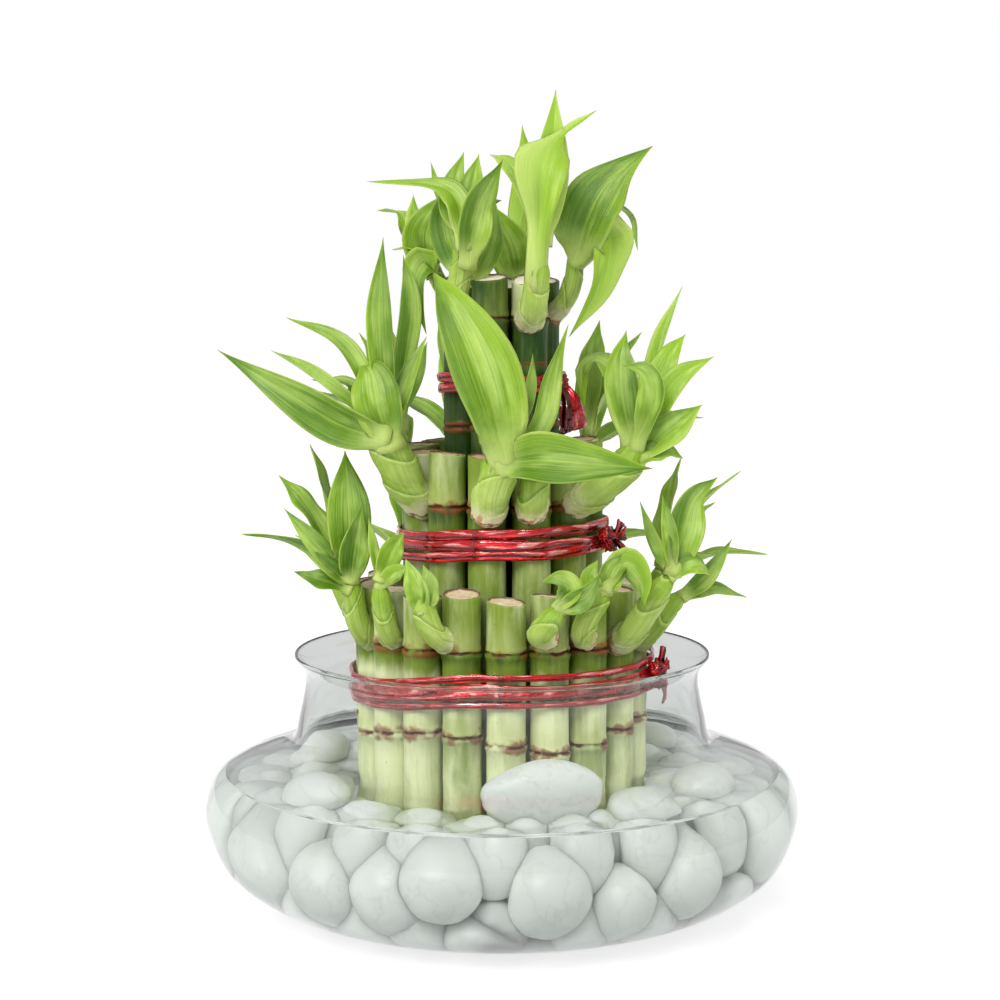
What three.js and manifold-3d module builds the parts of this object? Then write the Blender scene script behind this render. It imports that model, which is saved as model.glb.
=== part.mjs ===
// A three-tier lucky bamboo tied with red foil ribbon, standing in water and white pebbles
// in a low glass bowl. Millimetres, +Z up, origin at the centre of the bowl's underside,
// the side shown in the photograph facing -Y and +X to its right.
import * as THREE from "three";
import { mergeVertices } from "three/addons/utils/BufferGeometryUtils.js";
import Module from "manifold-3d";

const wasm = await Module();
wasm.setup();
const { Manifold, Mesh: SolidMesh } = wasm;

// Driving dimensions
const BOWL_RADIUS = 75.4;
const BOWL_WALL = 2;
const BOWL_FLOOR = 3;
const BOWL_SIDES = 30;
const FLOOR_RADIUS = 42; // the flat of the floor inside
const WATER_LEVEL = 34;
const WATER_FLOOR = 31; // the clear water above the pebbles; the gaps among them are left open
const GAP = 0.35; // clearance kept between pieces that touch on the real thing
const BUNDLE_RADIUS = 37.9; // pebbles and water stay outside the bundle of canes
const CANE_FOOT = BOWL_FLOOR + GAP;
const RIB_THICKNESS = 1.1; // a leaf blade at its midrib
const EYE_DISTANCE = 550; // where the object is seen from: distance from its axis,
const EYE_HEIGHT = 158.5; // and height above the surface it stands on

// Outer profile of the bowl as [radius, height], from the edge of the flat foot to the rim
const BOWL_PROFILE = [
  [34, 0],
  [47, 0.9],
  [56, 3.2],
  [63.5, 6.8],
  [70.4, 12.6],
  [74.6, 21],
  [BOWL_RADIUS, 27],
  [73, 33],
  [68, 36.2],
  [56.8, 40.2],
  [52.6, 43],
  [50.6, 51.5],
  [49.5, 57.5],
  [52.3, 64],
];
const RIM_RISE = 0.7;

// The three tiers of canes. Angles are in degrees from the front, growing towards +X.
const TIERS = {
  top: { count: 6, ring: 10.1, first: -18, cut: 158.5, node: 148.5, radius: 4.5, sides: 7, lower: 121 },
  mid: { count: 12, ring: 20.8, first: -10, cut: 116.5, node: 103, radius: 4.65, sides: 7, lower: null },
  low: { count: 19, ring: 32.3, first: 1.7, cut: 82.5, node: 69.6, radius: 4.7, sides: 8, lower: 47 },
};
const CENTRE_CANE = { cut: 157, node: 147, radius: 4.5, sides: 7, seed: 1 };
const NODE_SWELL = 0.35;
const NODE_HALF = 1;
// How far one cane differs from the next: radius, height of its cut and its lower node,
// and how far the cut is out of square, as rise over run
const RADIUS_SPREAD = 0.12;
const CUT_SPREAD = 1.2;
const LOWER_NODE_SPREAD = 3;
const CUT_SLOPE = 0.12;

// Foil ribbon: one band for each tier, with its knot at an angle from the front
const BANDS = [
  { name: "ribbon_top", tier: "top", height: 132.5, wide: 5, knot: 52, tails: [[4, -9], [9, -10]] },
  { name: "ribbon_middle", tier: "mid", height: 94.5, wide: 8, knot: 68, tails: [[3, 4], [7, -6]] },
  { name: "ribbon_bottom", tier: "low", height: 61, wide: 6, knot: 76, tails: [[1, 5], [3, -8]] },
];
const BAND_THICKNESS = 0.9;
const BAND_GAP = 0.2; // between the band and the widest place of a node
const KNOT_RADIUS = 2.6;
const KNOT_SIDES = [6, 4];
const TAIL_WIDTH = 5;
const TAIL_FOLD = 0.35;

// Pebbles lie in rings: how many, ring radius, angle of the first, height, half sizes along,
// across and up, and the sides of each round and upright
const PEBBLE_RINGS = [
  { name: "floor", count: 14, ring: 47.1, start: 9, height: 10.1, half: [13, 8, 5.6], sides: [6, 4] },
  { name: "inner", count: 13, ring: 45.2, start: 26, height: 23, half: [13, 6.5, 7.8], sides: [6, 4] },
];

// Pebbles against the wall in front: angle from the front, distance from the axis, height,
// half sizes along, across and up
const WALL_PEBBLES = [
  [-79, 61.5, 23.6, [9.6, 8.6, 8]],
  [-59, 61, 19.6, [11.6, 9, 7.8]],
  [-39, 61.5, 18.6, [8.8, 8.6, 7.9]],
  [-24, 60, 18.8, [9, 8.2, 8.6]],
  [-12.5, 62, 22, [9.5, 8.4, 8.2]],
  [9.5, 61.4, 19.8, [9, 8.6, 8.8]],
  [25.4, 59.9, 16.6, [7.8, 8, 7.5]],
  [41.5, 61.7, 19.8, [8.4, 8.4, 7.8]],
  [69, 62, 22.8, [9.6, 8.8, 8]],
];
// Those at the back follow a rule, and differ a little from each other
const BACK_PEBBLES = { count: 10, start: 89, step: 19.2, reach: 61.3, height: 20.5, half: [9.2, 8.6, 8.8] };
const BACK_SPREAD = { size: 0.08, height: 2, reach: 0.6, turn: 2 };
const WALL_SIDES = [6, 5];
const WALL_STRETCH = 1.5; // drawn out along the wall, so that each is sunk into the next
const WALL_SPREAD = { turn: 6, tilt: 0.12 };
const FRONT_SEED = 100;
const BACK_SEED = 120;

// Pebbles that break the surface: angle from the front, distance from the axis, height,
// half sizes along, across and up
const SURFACE_PEBBLES = [
  [12, 44, 37.2, [13.6, 5.6, 7.4]],
  [40, 51.8, 32.2, [11.4, 7, 5]],
  [72, 52.4, 32.6, [11.6, 7.1, 5]],
  [131, 52.2, 32.4, [11.6, 7, 5]],
  [178, 51.8, 32.2, [11.4, 7, 5]],
  [-112, 52.2, 32.4, [11.6, 7, 5]],
  [-59, 52.4, 32.6, [11.8, 7.1, 5]],
];
const SURFACE_SIDES = [6, 5];
// How far one pebble differs from the next: share of its size, tilt in radians, place
const PEBBLE_SPREAD = { size: 0.04, tilt: 0.12, place: 0.3 };

// A repeatable draw between 0 and 1 for item i and use k
const draw = (i, k) => {
  const wave = Math.sin(i * 12.9898 + k * 78.233) * 43758.5453;
  return wave - Math.floor(wave);
};
const spread = (i, k, half) => (2 * draw(i, k) - 1) * half;

// A point given as it is seen from the front: across and up as they look in the plane
// of the axis, then its depth, which is negative on the near side.
const seen = ([across, up, depth]) => {
  const nearer = (EYE_DISTANCE + depth) / EYE_DISTANCE;
  return new THREE.Vector3(across * nearer, depth, EYE_HEIGHT + (up - EYE_HEIGHT) * nearer);
};
const radians = THREE.MathUtils.degToRad;
const outward = (angle) => new THREE.Vector3(Math.sin(radians(angle)), -Math.cos(radians(angle)), 0);

// The middle of a cane of a tier, on the level of the bowl's underside
const place = ({ first, count, ring }, index) => outward(first + (index * 360) / count).multiplyScalar(ring);

// A closed three.js geometry as a solid, and a solid as a geometry
const solidOf = (geometry) => {
  const bare = geometry.clone();
  bare.deleteAttribute("normal");
  bare.deleteAttribute("uv");
  const merged = mergeVertices(bare, 1e-4);
  return new Manifold(
    new SolidMesh({
      numProp: 3,
      vertProperties: Float32Array.from(merged.attributes.position.array),
      triVerts: Uint32Array.from(merged.index.array),
    }),
  );
};
const geometryOf = (solid) => {
  const { vertProperties, triVerts, numProp } = solid.getMesh();
  const positions = new Float32Array((vertProperties.length / numProp) * 3);
  for (let i = 0; i < positions.length / 3; i++) {
    for (let k = 0; k < 3; k++) positions[i * 3 + k] = vertProperties[i * numProp + k];
  }
  const geometry = new THREE.BufferGeometry();
  geometry.setAttribute("position", new THREE.BufferAttribute(positions, 3));
  geometry.setIndex(new THREE.BufferAttribute(Uint32Array.from(triVerts), 1));
  return geometry;
};
const joined = (solids) => solids.reduce((whole, solid) => whole.add(solid));

// A closed skin over rings of points, each ring with the same number of points
function skin(rings, apex) {
  const around = rings[0].length;
  const points = rings.flat();
  const faces = [];
  for (let i = 0; i + 1 < rings.length; i++) {
    for (let k = 0; k < around; k++) {
      const next = (k + 1) % around;
      const [a, b] = [i * around + k, i * around + next];
      const [c, d] = [a + around, b + around];
      // the two faces of a blade are split alike, from its edges towards its rib
      if (k % 2 === 0) faces.push([a, b, d], [a, d, c]);
      else faces.push([a, b, c], [b, d, c]);
    }
  }
  for (let k = 1; k + 1 < around; k++) faces.push([0, k + 1, k]);
  const last = (rings.length - 1) * around;
  if (apex) {
    points.push(apex);
    for (let k = 0; k < around; k++) faces.push([last + k, last + ((k + 1) % around), points.length - 1]);
  } else {
    for (let k = 1; k + 1 < around; k++) faces.push([last, last + k, last + k + 1]);
  }
  const geometry = new THREE.BufferGeometry().setFromPoints(points);
  geometry.setIndex(faces.flat());
  const solid = solidOf(geometry);
  if (solid.volume() > 0) return solid;
  geometry.setIndex(faces.map(([a, b, c]) => [a, c, b]).flat());
  return solidOf(geometry);
}

const spineOf = (points) => new THREE.CatmullRomCurve3(points, false, "catmullrom", 0.5);

// Where along a leaf its rings of points stand; a short leaf has fewer
const BLADE_STEPS = [0, 0.2, 0.45, 0.7, 0.88];
const SHORT_BLADE_STEPS = [0, 0.3, 0.68];
const SHORT_BLADE = 19;
const BLADE_FOLD = 0.22;
const RIB_TAPER = 0.35;
// Half width along a leaf as a share of its widest: it swells from a narrow neck to the
// widest place at about two fifths, then runs out to a point
const BLADE_NECK = 0.34;
const bladeShare = (t) => {
  const swell = Math.sin(Math.PI * t ** 0.78) ** 0.85;
  return Math.max(swell, BLADE_NECK * (1 - t * 3));
};

// A leaf: a pointed blade along its spine, folded to a shallow gutter along the rib
function blade(width, face, spinePoints, fold = BLADE_FOLD) {
  const spine = spineOf(spinePoints);
  const steps = spine.getLength() < SHORT_BLADE ? SHORT_BLADE_STEPS : BLADE_STEPS;
  const rings = steps.map((t) => {
    const centre = spine.getPoint(t);
    const along = spine.getTangent(t);
    const side = new THREE.Vector3().crossVectors(along, face).normalize();
    const normal = new THREE.Vector3().crossVectors(side, along).normalize();
    const half = (width / 2) * bladeShare(t);
    const rib = (RIB_THICKNESS / 2) * (1 - RIB_TAPER * t);
    const at = (out, up) => centre.clone().addScaledVector(side, out).addScaledVector(normal, up);
    return [at(-half, fold * half), at(0, rib), at(half, fold * half), at(0, -rib)];
  });
  return skin(rings, spine.getPoint(1));
}

// A tapering stem along its spine, closed at both ends
const STEM_SIDES = 5;
const STEM_STEPS = 3;
const STEM_CROWN = 0.8; // how far it goes on past the last ring, as a share of the radius there
const STEM_FACE = new THREE.Vector3(0.3, -1, 0.1);
function stem(radii, spinePoints) {
  const spine = spineOf(spinePoints);
  const rings = [];
  for (let i = 0; i <= STEM_STEPS; i++) {
    const t = i / STEM_STEPS;
    const centre = spine.getPoint(t);
    const along = spine.getTangent(t);
    const side = new THREE.Vector3().crossVectors(along, STEM_FACE).normalize();
    const normal = new THREE.Vector3().crossVectors(side, along).normalize();
    const radius = THREE.MathUtils.lerp(radii[0], radii[1], t);
    const ring = Array.from({ length: STEM_SIDES }, (_, k) => {
      const turn = (k / STEM_SIDES) * 2 * Math.PI;
      const point = centre.clone().addScaledVector(side, radius * Math.cos(turn));
      return point.addScaledVector(normal, radius * Math.sin(turn));
    });
    rings.push(ring);
  }
  const crown = spine.getPoint(1).addScaledVector(spine.getTangent(1), radii[1] * STEM_CROWN);
  return skin(rings, crown);
}

// Shoots seen in the photograph. Points are [across, up, depth]; a leaf is its width,
// the way its face looks, and the points of its spine from the stem to the tip.
const SHOOTS = {
  top_1: {
    stem: [[3, 2.4], [[6.6, 148.6, -9], [8, 153, -15], [9.4, 163, -17.5], [9.7, 171, -17.5]]],
    leaves: [
      [14, [0, -1, 0.3],
        [9.5, 164, -17.5], [9.4, 176, -19.5], [10.2, 186, -17.5], [14, 193, -11], [23.5, 199.5, -4]],
      [9, [0.1, -1, 0], [9.8, 166, -15], [12.3, 186, -10], [13.3, 204.8, -8]],
      [7, [0.3, -0.8, 0.5], [9.2, 168, -15], [2.5, 185, -10], [-3.2, 188.7, -4]],
    ],
  },
  top_2: {
    stem: [[2.4, 1.9], [[12.5, 148.8, 0], [16.5, 154, -4], [18.6, 163, -6], [20, 168, -7]]],
    leaves: [
      [13, [-0.3, -1, 0.2], [19, 163, -7], [21.5, 174, -9.5], [27, 183, -8], [37, 190.8, -4]],
      [6.5, [0.1, -0.4, 1], [20, 166, -5], [26.5, 175, -2], [31.5, 173.5, 0], [33.8, 164.8, 2]],
      [9.6, [0.5, -1, 0.1], [20, 166, -7], [27.2, 169, -8.5], [25, 156.5, -9.5], [16.6, 143.4, -9.5]],
    ],
  },
  top_3: {
    stem: [[2.4, 1.8], [[3.5, 148.6, 12], [4.5, 153, 16], [4, 160, 17], [3, 166, 16]]],
    leaves: [
      [10, [0.2, -1, 0.1], [3.2, 162, 16], [1, 168.5, 13], [-4, 177.5, 10]],
      [9, [0.5, 0.6, 0.8], [3.5, 163, 17], [10, 176, 23], [20, 180, 31]],
      [8, [-0.5, 0.6, 0.8], [3, 163, 18], [-4, 177, 26], [-10, 179, 36]],
      [8, [0, 1, 0.2], [3, 165, 17], [6, 181, 20], [5, 196, 21]],
    ],
  },
  top_4: {
    stem: [[2.3, 1.8], [[-8, 148.6, 11], [-13, 153, 13], [-16.5, 159, 13], [-18, 164, 12]]],
    leaves: [
      [9, [-0.2, -1, 0.1], [-17.6, 161.5, 12], [-18.5, 171, 9.5], [-13.2, 179, 8]],
      [4.5, [0, -1, 0.2], [-18, 162, 12], [-21.2, 171, 13], [-22, 178, 13]],
      [3, [0, -0.3, 1], [-18, 162, 11], [-22.5, 165.4, 9], [-27.4, 165.2, 8]],
      [8, [-0.6, 0.5, 0.8], [-17.5, 162, 14], [-23, 173, 22], [-31, 175, 30]],
    ],
  },
  top_5: {
    stem: [[2.4, 1.9], [[-11.5, 148.6, -6], [-10.4, 156, -9], [-8.7, 164, -10], [-8, 171, -10]]],
    leaves: [
      [6.5, [-0.1, -0.5, 1], [-8, 168, -10.5], [-11, 178.4, -11], [-17.5, 181.4, -10], [-33.7, 182, -7]],
      [7, [0.3, -1, 0.1], [-8, 168, -11], [-4.8, 178, -14.5], [0.3, 187.6, -16.5]],
      [6.5, [0, -1, 0], [-7.8, 170, -9], [-7.3, 180, -7], [-5.7, 188.5, -6]],
      [6, [-0.3, -1, 0], [-8.2, 170, -8.5], [-11.2, 181, -5.5], [-8.6, 189, -4]],
      [2.6, [-0.3, -1, 0], [-8.4, 169.5, -9], [-15.2, 180, -3], [-17.7, 187, -1]],
    ],
  },
  mid_0: {
    stem: [[3.6, 2.6], [[-3.4, 101, -24], [-2, 104.5, -28.5], [0.4, 112, -30.5], [1.6, 118, -31]]],
    leaves: [
      [16, [0.25, -1, 0.1],
        [1, 112.5, -31], [2, 125, -33.5], [-5, 142, -32.5], [-13.5, 155.5, -28], [-17.5, 158.5, -21]],
      [6.5, [0.5, -1, 0], [2, 114, -30.5], [9.6, 123, -30.5], [12.8, 135.5, -26], [16.6, 147, -21]],
      [3.6, [-0.3, -1, 0], [2, 116, -31.5], [6.8, 129, -32], [7.7, 139.7, -31]],
      [9.2, [0, -1, 0.35], [1.4, 112.5, -31.5], [9.5, 116, -35], [23.2, 115, -37], [37.5, 111.8, -34]],
    ],
  },
  mid_1: {
    stem: [[3.7, 2.8], [[7.2, 100, -23], [8, 103.5, -27.5], [8.3, 107, -28.5], [8.5, 110.5, -28.8]]],
    leaves: [[5, [0.2, -1, 0], [8.4, 107, -28.5], [11.5, 113, -29], [13.5, 119.5, -26.5]]],
  },
  mid_2: {
    stem: [[3.4, 2.7], [[17.6, 101.6, -14.6], [23.4, 104.6, -19.6], [31, 111.5, -19], [34.3, 118, -17.5]]],
    leaves: [
      [10, [0, -1, 0.1], [33, 115, -17.5], [30.2, 127.5, -15], [29.4, 137.7, -12.5], [31, 145.3, -10]],
      [6, [-1, -0.25, 0.3], [34.4, 116, -15], [38.2, 140, -9], [45, 156.5, -5]],
      [7, [-0.2, -1, 0.1], [34.4, 116, -16.5], [40.3, 136, -14], [45.8, 144.4, -10]],
      [6.4, [0, -1, 0.4], [34.6, 116, -17.5], [43, 132.4, -17.5], [53, 138.8, -15]],
      [8, [-0.4, -1, 0.2], [33.6, 115, -19], [37.6, 127.5, -22], [36, 135, -21.5], [30, 136.5, -19.5]],
      [9, [-0.2, -1, 0.4], [33.6, 113, -18.5], [42.4, 120.4, -20], [50.2, 126.8, -18]],
      [7.5, [0, -0.8, 0.7], [32.8, 111, -19], [39.8, 115, -21], [45.6, 113.2, -20]],
      [6.2, [0, -0.6, 1], [34, 116, -14], [26, 136, -3], [20.5, 135.5, -1], [20.6, 125, 0]],
    ],
  },
  mid_9: {
    stem: [[3, 2.2], [[-21.5, 101.8, 5], [-26, 107, 5.5], [-28, 116, 5], [-27, 124, 4.5]]],
    leaves: [
      [6.8, [-0.3, -1, 0], [-27.3, 121, 4.5], [-22.6, 149, 3.5], [-24.6, 164.2, 4.5]],
      [6, [-0.3, -1, 0.2], [-27.3, 121, 4], [-22, 133, 1], [-18.6, 142.5, 0]],
      [8, [-0.8, 0.3, 0.7], [-27.5, 119, 6], [-37, 131, 11], [-48, 133, 15]],
    ],
  },
  mid_10: {
    stem: [[3.8, 3], [[-20.4, 102, -9], [-24.4, 108, -14.4], [-27.6, 116.5, -18], [-29.6, 123, -18.5]]],
    leaves: [
      [12.5, [0, -1, 0.2], [-28, 116, -19], [-31, 126, -21], [-32.6, 134, -19], [-35, 137.8, -12.5]],
      [11, [0, -1, 0.3], [-28.5, 118, -19.5], [-40.5, 121.6, -21], [-54.2, 130, -20], [-71.2, 140.5, -15]],
      [5.4, [0.2, -0.6, 0.9], [-29, 120, -17.5], [-39, 141.2, -14], [-54, 148.5, -9]],
      [7, [0.2, -1, 0], [-29, 120, -17], [-30.8, 148, -14], [-29.5, 168.6, -11]],
      [6, [-0.4, -1, 0.2], [-28.4, 118, -17.5], [-24.2, 131.5, -14.5], [-18.7, 144, -12]],
      [3.4, [0, -1, 0.4], [-29, 120, -17], [-45.5, 134, -15.5], [-58, 140.4, -13]],
    ],
  },
  low_1: {
    stem: [[2.9, 2.4], [[11.4, 67.6, -33.6], [9.6, 68.8, -38.6], [12, 71.8, -40.4], [15.5, 76.5, -39.8]]],
    leaves: [
      [6, [-0.2, -1, 0.3], [14, 74.5, -39.5], [17.4, 79.8, -40], [14.6, 82.8, -40], [9.5, 81.8, -39.5]],
      [6, [0.3, -1, 0.3], [14.5, 75, -39.5], [20.5, 78, -41], [25, 84.4, -40]],
    ],
  },
  low_2: {
    stem: [[2.7, 2.3], [[21.4, 67.2, -27.4], [20.4, 69.4, -33.4], [23.6, 76, -35], [27, 81.6, -34.4]]],
    leaves: [
      [7, [-0.3, -0.8, 0.6], [26, 79.5, -34.5], [31, 86.6, -35], [35.4, 82, -35], [36, 75.2, -34]],
      [6.4, [0.2, -1, 0.3], [25.6, 79.5, -34.5], [28, 85, -35.5], [32, 90, -33.5]],
      [5, [-0.4, -1, 0.2], [25, 78.8, -35], [22.4, 83.2, -36], [24.2, 87.6, -35]],
    ],
  },
  low_3: {
    stem: [[3.3, 2.8], [[28.8, 66.4, -19.4], [33, 69.4, -24.6], [38.6, 78, -26], [43.6, 85, -25]]],
    leaves: [
      [9.4, [0.3, -1, 0], [42.6, 83.6, -25], [45.4, 94, -24.5], [48, 103, -22], [54.2, 108.6, -18.5]],
      [3.6, [-0.3, -1, 0], [42.6, 84, -24], [38.4, 92.6, -22], [34.5, 102.8, -20]],
      [4.2, [0, -1, 0], [43, 84, -25.5], [42, 95, -27], [40.2, 104.3, -26]],
      [6.2, [0, -0.7, 0.7], [42.8, 83, -25.5], [48.5, 86, -27], [52.6, 83.6, -25]],
    ],
  },
  low_4: {
    stem: [[2.7, 2.1], [[32.4, 65.6, -7], [37, 68.6, -12], [42.4, 75.6, -14], [46.4, 79.6, -14]]],
    leaves: [
      [5.2, [0.3, -1, 0.3], [45, 78, -14], [52, 84, -13], [58, 93, -10]],
      [5, [0.4, -0.6, 0.8], [45, 77.6, -13.5], [53, 80, -10], [62, 78, -6]],
    ],
  },
  low_15: {
    stem: [[3, 2.3], [[-31.4, 66.4, -10], [-35.5, 70, -15], [-37.5, 78, -16.5], [-38.4, 85, -16]]],
    leaves: [
      [8, [0.1, -1, 0], [-38.2, 82, -16.5], [-37, 91, -17.5], [-35.2, 101.6, -15.5]],
      [10, [0.1, -1, 0], [-38.4, 82.5, -15], [-39.2, 101, -12], [-39.4, 114.4, -9]],
      [5.6, [0, -1, 0.3], [-38.4, 82, -16], [-46.6, 91.4, -16], [-55, 100.8, -13]],
      [4.2, [0, -1, 0.4], [-38.4, 81, -16.5], [-44.4, 86.4, -18], [-51.2, 91, -16]],
      [6.2, [0, -0.8, 0.6], [-38.2, 79.6, -17], [-46, 82.4, -18], [-52.6, 84.6, -16.5]],
    ],
  },
  low_16: {
    stem: [[2.8, 2.1], [[-26.4, 66.8, -19], [-28.6, 69, -24.5], [-30.2, 76, -26.5], [-31, 84, -26]]],
    leaves: [
      [2.8, [0.2, -1, 0], [-31, 82, -25.5], [-32.4, 91, -24.5], [-33.6, 98.4, -22]],
      [6.2, [0.1, -1, 0.2], [-30.8, 82, -26], [-27.6, 90, -25.5], [-24.6, 94.8, -23.5]],
      [4.6, [-0.3, -1, 0.4], [-30.8, 80.5, -26.5], [-26.4, 84.4, -29], [-23.4, 85.4, -30]],
    ],
  },
  low_18: {
    stem: [[3, 2.2], [[-12.6, 66.4, -31], [-16.8, 68.2, -35.5], [-19.6, 74, -37.5], [-21.2, 79, -37]]],
    leaves: [
      [6.4, [-0.2, -1, 0], [-19.8, 74.5, -37.5], [-21.8, 81, -38.5], [-24.4, 88, -36.5]],
      [4.6, [0.4, -1, 0], [-19.6, 74.5, -38], [-18.4, 81, -39], [-20, 86.6, -37.5]],
    ],
  },
};

// Shoots on the far side, which the photograph doesn't show, follow one rule: a stem given
// by its reach from the cane and its rise above the node, and leaves that each give their
// turn from the shoot's own direction, their climb, length and width.
const RULED_SHOOTS = ["mid_5", "mid_7", "mid_8", "low_6", "low_8", "low_11", "low_13"];
const RULED_PATH = [[2.5, 0], [9, 3], [12.5, 10], [14, 17]];
const RULED_RADII = [2.9, 2.1];
const RULED_ARCH = 0.06; // how far a leaf bows above its chord, as a share of its length
const RULED_DROOP = 0.1; // and how far its tip hangs below it
const RULED_SPREAD = { lean: 6, turn: 5, climb: 6, length: 0.12 };
const RULED_LEAVES = [
  [-50, 26, 31, 8],
  [44, 34, 33, 8.5],
  [-16, 58, 35, 8.5],
  [14, 76, 36, 8],
];

function ruledShoot(tier, index) {
  const angle = tier.first + (index * 360) / tier.count;
  const seed = index + tier.ring;
  const lean = angle + spread(seed, 1, RULED_SPREAD.lean);
  const path = RULED_PATH.map(([reach, rise]) => {
    const point = place(tier, index).addScaledVector(outward(lean), reach);
    return point.setZ(tier.node + rise);
  });
  const leaves = RULED_LEAVES.map(([turn, climb, length, width], k) => {
    const way = outward(lean + turn * 0.8 + spread(seed, 10 + k, RULED_SPREAD.turn));
    const tilt = radians(climb + spread(seed, 20 + k, RULED_SPREAD.climb));
    const reach = length * (1 + spread(seed, 30 + k, RULED_SPREAD.length));
    const root = spineOf(path).getPoint(0.66 + 0.07 * k);
    const middle = root.clone().addScaledVector(way, 0.5 * reach * Math.cos(tilt));
    middle.z += reach * (0.5 * Math.sin(tilt) + RULED_ARCH);
    const tip = root.clone().addScaledVector(way, reach * Math.cos(tilt));
    tip.z += reach * (Math.sin(tilt) - RULED_DROOP);
    const face = way.clone().multiplyScalar(-Math.sin(tilt)).setZ(Math.cos(tilt));
    return blade(width, face, [root, middle, tip]);
  });
  return [stem(RULED_RADII, path), ...leaves];
}

function drawnShoot({ stem: [radii, path], leaves }) {
  const blades = leaves.map(([width, face, ...points]) => {
    return blade(width, new THREE.Vector3(...face), points.map(seen));
  });
  return [stem(radii, path.map(seen)), ...blades];
}

// One cane: a rod with swollen nodes, cut across the top a little out of square
function cane({ radius, cut, nodes, sides, seed }, centre) {
  const outline = [[0, CANE_FOOT], [radius, CANE_FOOT]];
  for (const node of nodes) {
    outline.push([radius + NODE_SWELL, node - NODE_HALF], [radius - NODE_SWELL, node + NODE_HALF]);
  }
  outline.push([radius, cut], [0, cut]);
  const geometry = new THREE.LatheGeometry(outline.map(([r, z]) => new THREE.Vector2(r, z)), sides);
  geometry.rotateX(Math.PI / 2);
  const slope = [spread(seed, 3, CUT_SLOPE), spread(seed, 4, CUT_SLOPE)];
  const position = geometry.attributes.position;
  for (let i = 0; i < position.count; i++) {
    const onCut = Math.abs(position.getZ(i) - cut) < 1e-3;
    const rise = slope[0] * position.getX(i) + slope[1] * position.getY(i);
    if (onCut) position.setZ(i, cut + rise);
  }
  return solidOf(geometry.translate(centre.x, centre.y, 0));
}

function leafyCane(tierName, index) {
  const tier = TIERS[tierName];
  const seed = index + tier.ring;
  const lower = tier.lower ? [tier.lower + spread(seed, 6, LOWER_NODE_SPREAD)] : [];
  const sizes = {
    radius: tier.radius + spread(seed, 2, RADIUS_SPREAD),
    cut: tier.cut + spread(seed, 5, CUT_SPREAD),
    nodes: [...lower, tier.node],
    sides: tier.sides,
    seed,
  };
  const rod = cane(sizes, place(tier, index));
  const key = `${tierName}_${index}`;
  if (SHOOTS[key]) return joined([rod, ...drawnShoot(SHOOTS[key])]);
  if (RULED_SHOOTS.includes(key)) return joined([rod, ...ruledShoot(tier, index)]);
  return rod;
}

// The bowl's wall and the space inside it, both turned about the axis
const turned = (outline) => {
  const closed = outline[0][0] === 0 ? outline : [...outline, outline[0]];
  const geometry = new THREE.LatheGeometry(closed.map(([r, z]) => new THREE.Vector2(r, z)), BOWL_SIDES);
  return solidOf(geometry.rotateX(Math.PI / 2));
};
function insideProfile(offset) {
  const points = BOWL_PROFILE.map(([r, z], i) => {
    const [r0, z0] = BOWL_PROFILE[Math.max(i - 1, 0)];
    const [r1, z1] = BOWL_PROFILE[Math.min(i + 1, BOWL_PROFILE.length - 1)];
    const length = Math.hypot(r1 - r0, z1 - z0);
    return [r - ((z1 - z0) / length) * offset, z + ((r1 - r0) / length) * offset];
  });
  const floor = BOWL_FLOOR + (offset - BOWL_WALL);
  return [[0, floor], [FLOOR_RADIUS, floor], ...points.filter(([r, z]) => z > floor && r > FLOOR_RADIUS + 2)];
}

function bowl() {
  const [rimRadius, rimHeight] = BOWL_PROFILE.at(-1);
  const lip = [rimRadius - BOWL_WALL / 2, rimHeight + RIM_RISE];
  const inner = insideProfile(BOWL_WALL);
  return turned([[0, 0], ...BOWL_PROFILE, lip, ...inner.reverse()]);
}

// The clear water over the pebbles: a ring between the wall and the bundle, with a plain
// hole for each pebble that breaks the surface
function water() {
  const wall = insideProfile(BOWL_WALL + GAP);
  const edgeAt = (height) => {
    const above = wall.findIndex(([, z], i) => i > 1 && z >= height);
    const [r0, z0] = wall[above - 1];
    const [r1, z1] = wall[above];
    return [r0 + ((r1 - r0) * (height - z0)) / (z1 - z0), height];
  };
  const side = wall.filter(([, z]) => z > WATER_FLOOR && z < WATER_LEVEL);
  const layer = turned([
    [BUNDLE_RADIUS, WATER_FLOOR],
    edgeAt(WATER_FLOOR),
    ...side,
    edgeAt(WATER_LEVEL),
    [BUNDLE_RADIUS, WATER_LEVEL],
  ]);
  return layer.subtract(joined(SURFACE_PEBBLES.map((pebble) => surfacePebble(pebble, GAP))));
}

const egg = (half, sides, grow = 0) => {
  const geometry = new THREE.SphereGeometry(1, sides[0], sides[1]);
  return geometry.scale(half[0] + grow, half[1] + grow, half[2] + grow);
};

// One ring of pebbles, each sunk a little into the next
function pebbleRing({ count, ring, start, height, half, sides }) {
  const stones = Array.from({ length: count }, (_, i) => {
    const seed = i + ring;
    const angle = (i * 360) / count + start;
    const size = half.map((s, k) => s * (1 + spread(seed, 11 + k, PEBBLE_SPREAD.size)));
    const stone = egg(size, sides);
    stone.rotateY(spread(seed, 16, PEBBLE_SPREAD.tilt));
    stone.rotateZ(radians(angle));
    const centre = outward(angle).multiplyScalar(ring + spread(seed, 17, PEBBLE_SPREAD.place));
    stone.translate(centre.x, centre.y, height + spread(seed, 18, PEBBLE_SPREAD.place));
    return solidOf(stone);
  });
  return joined(stones);
}

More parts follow.
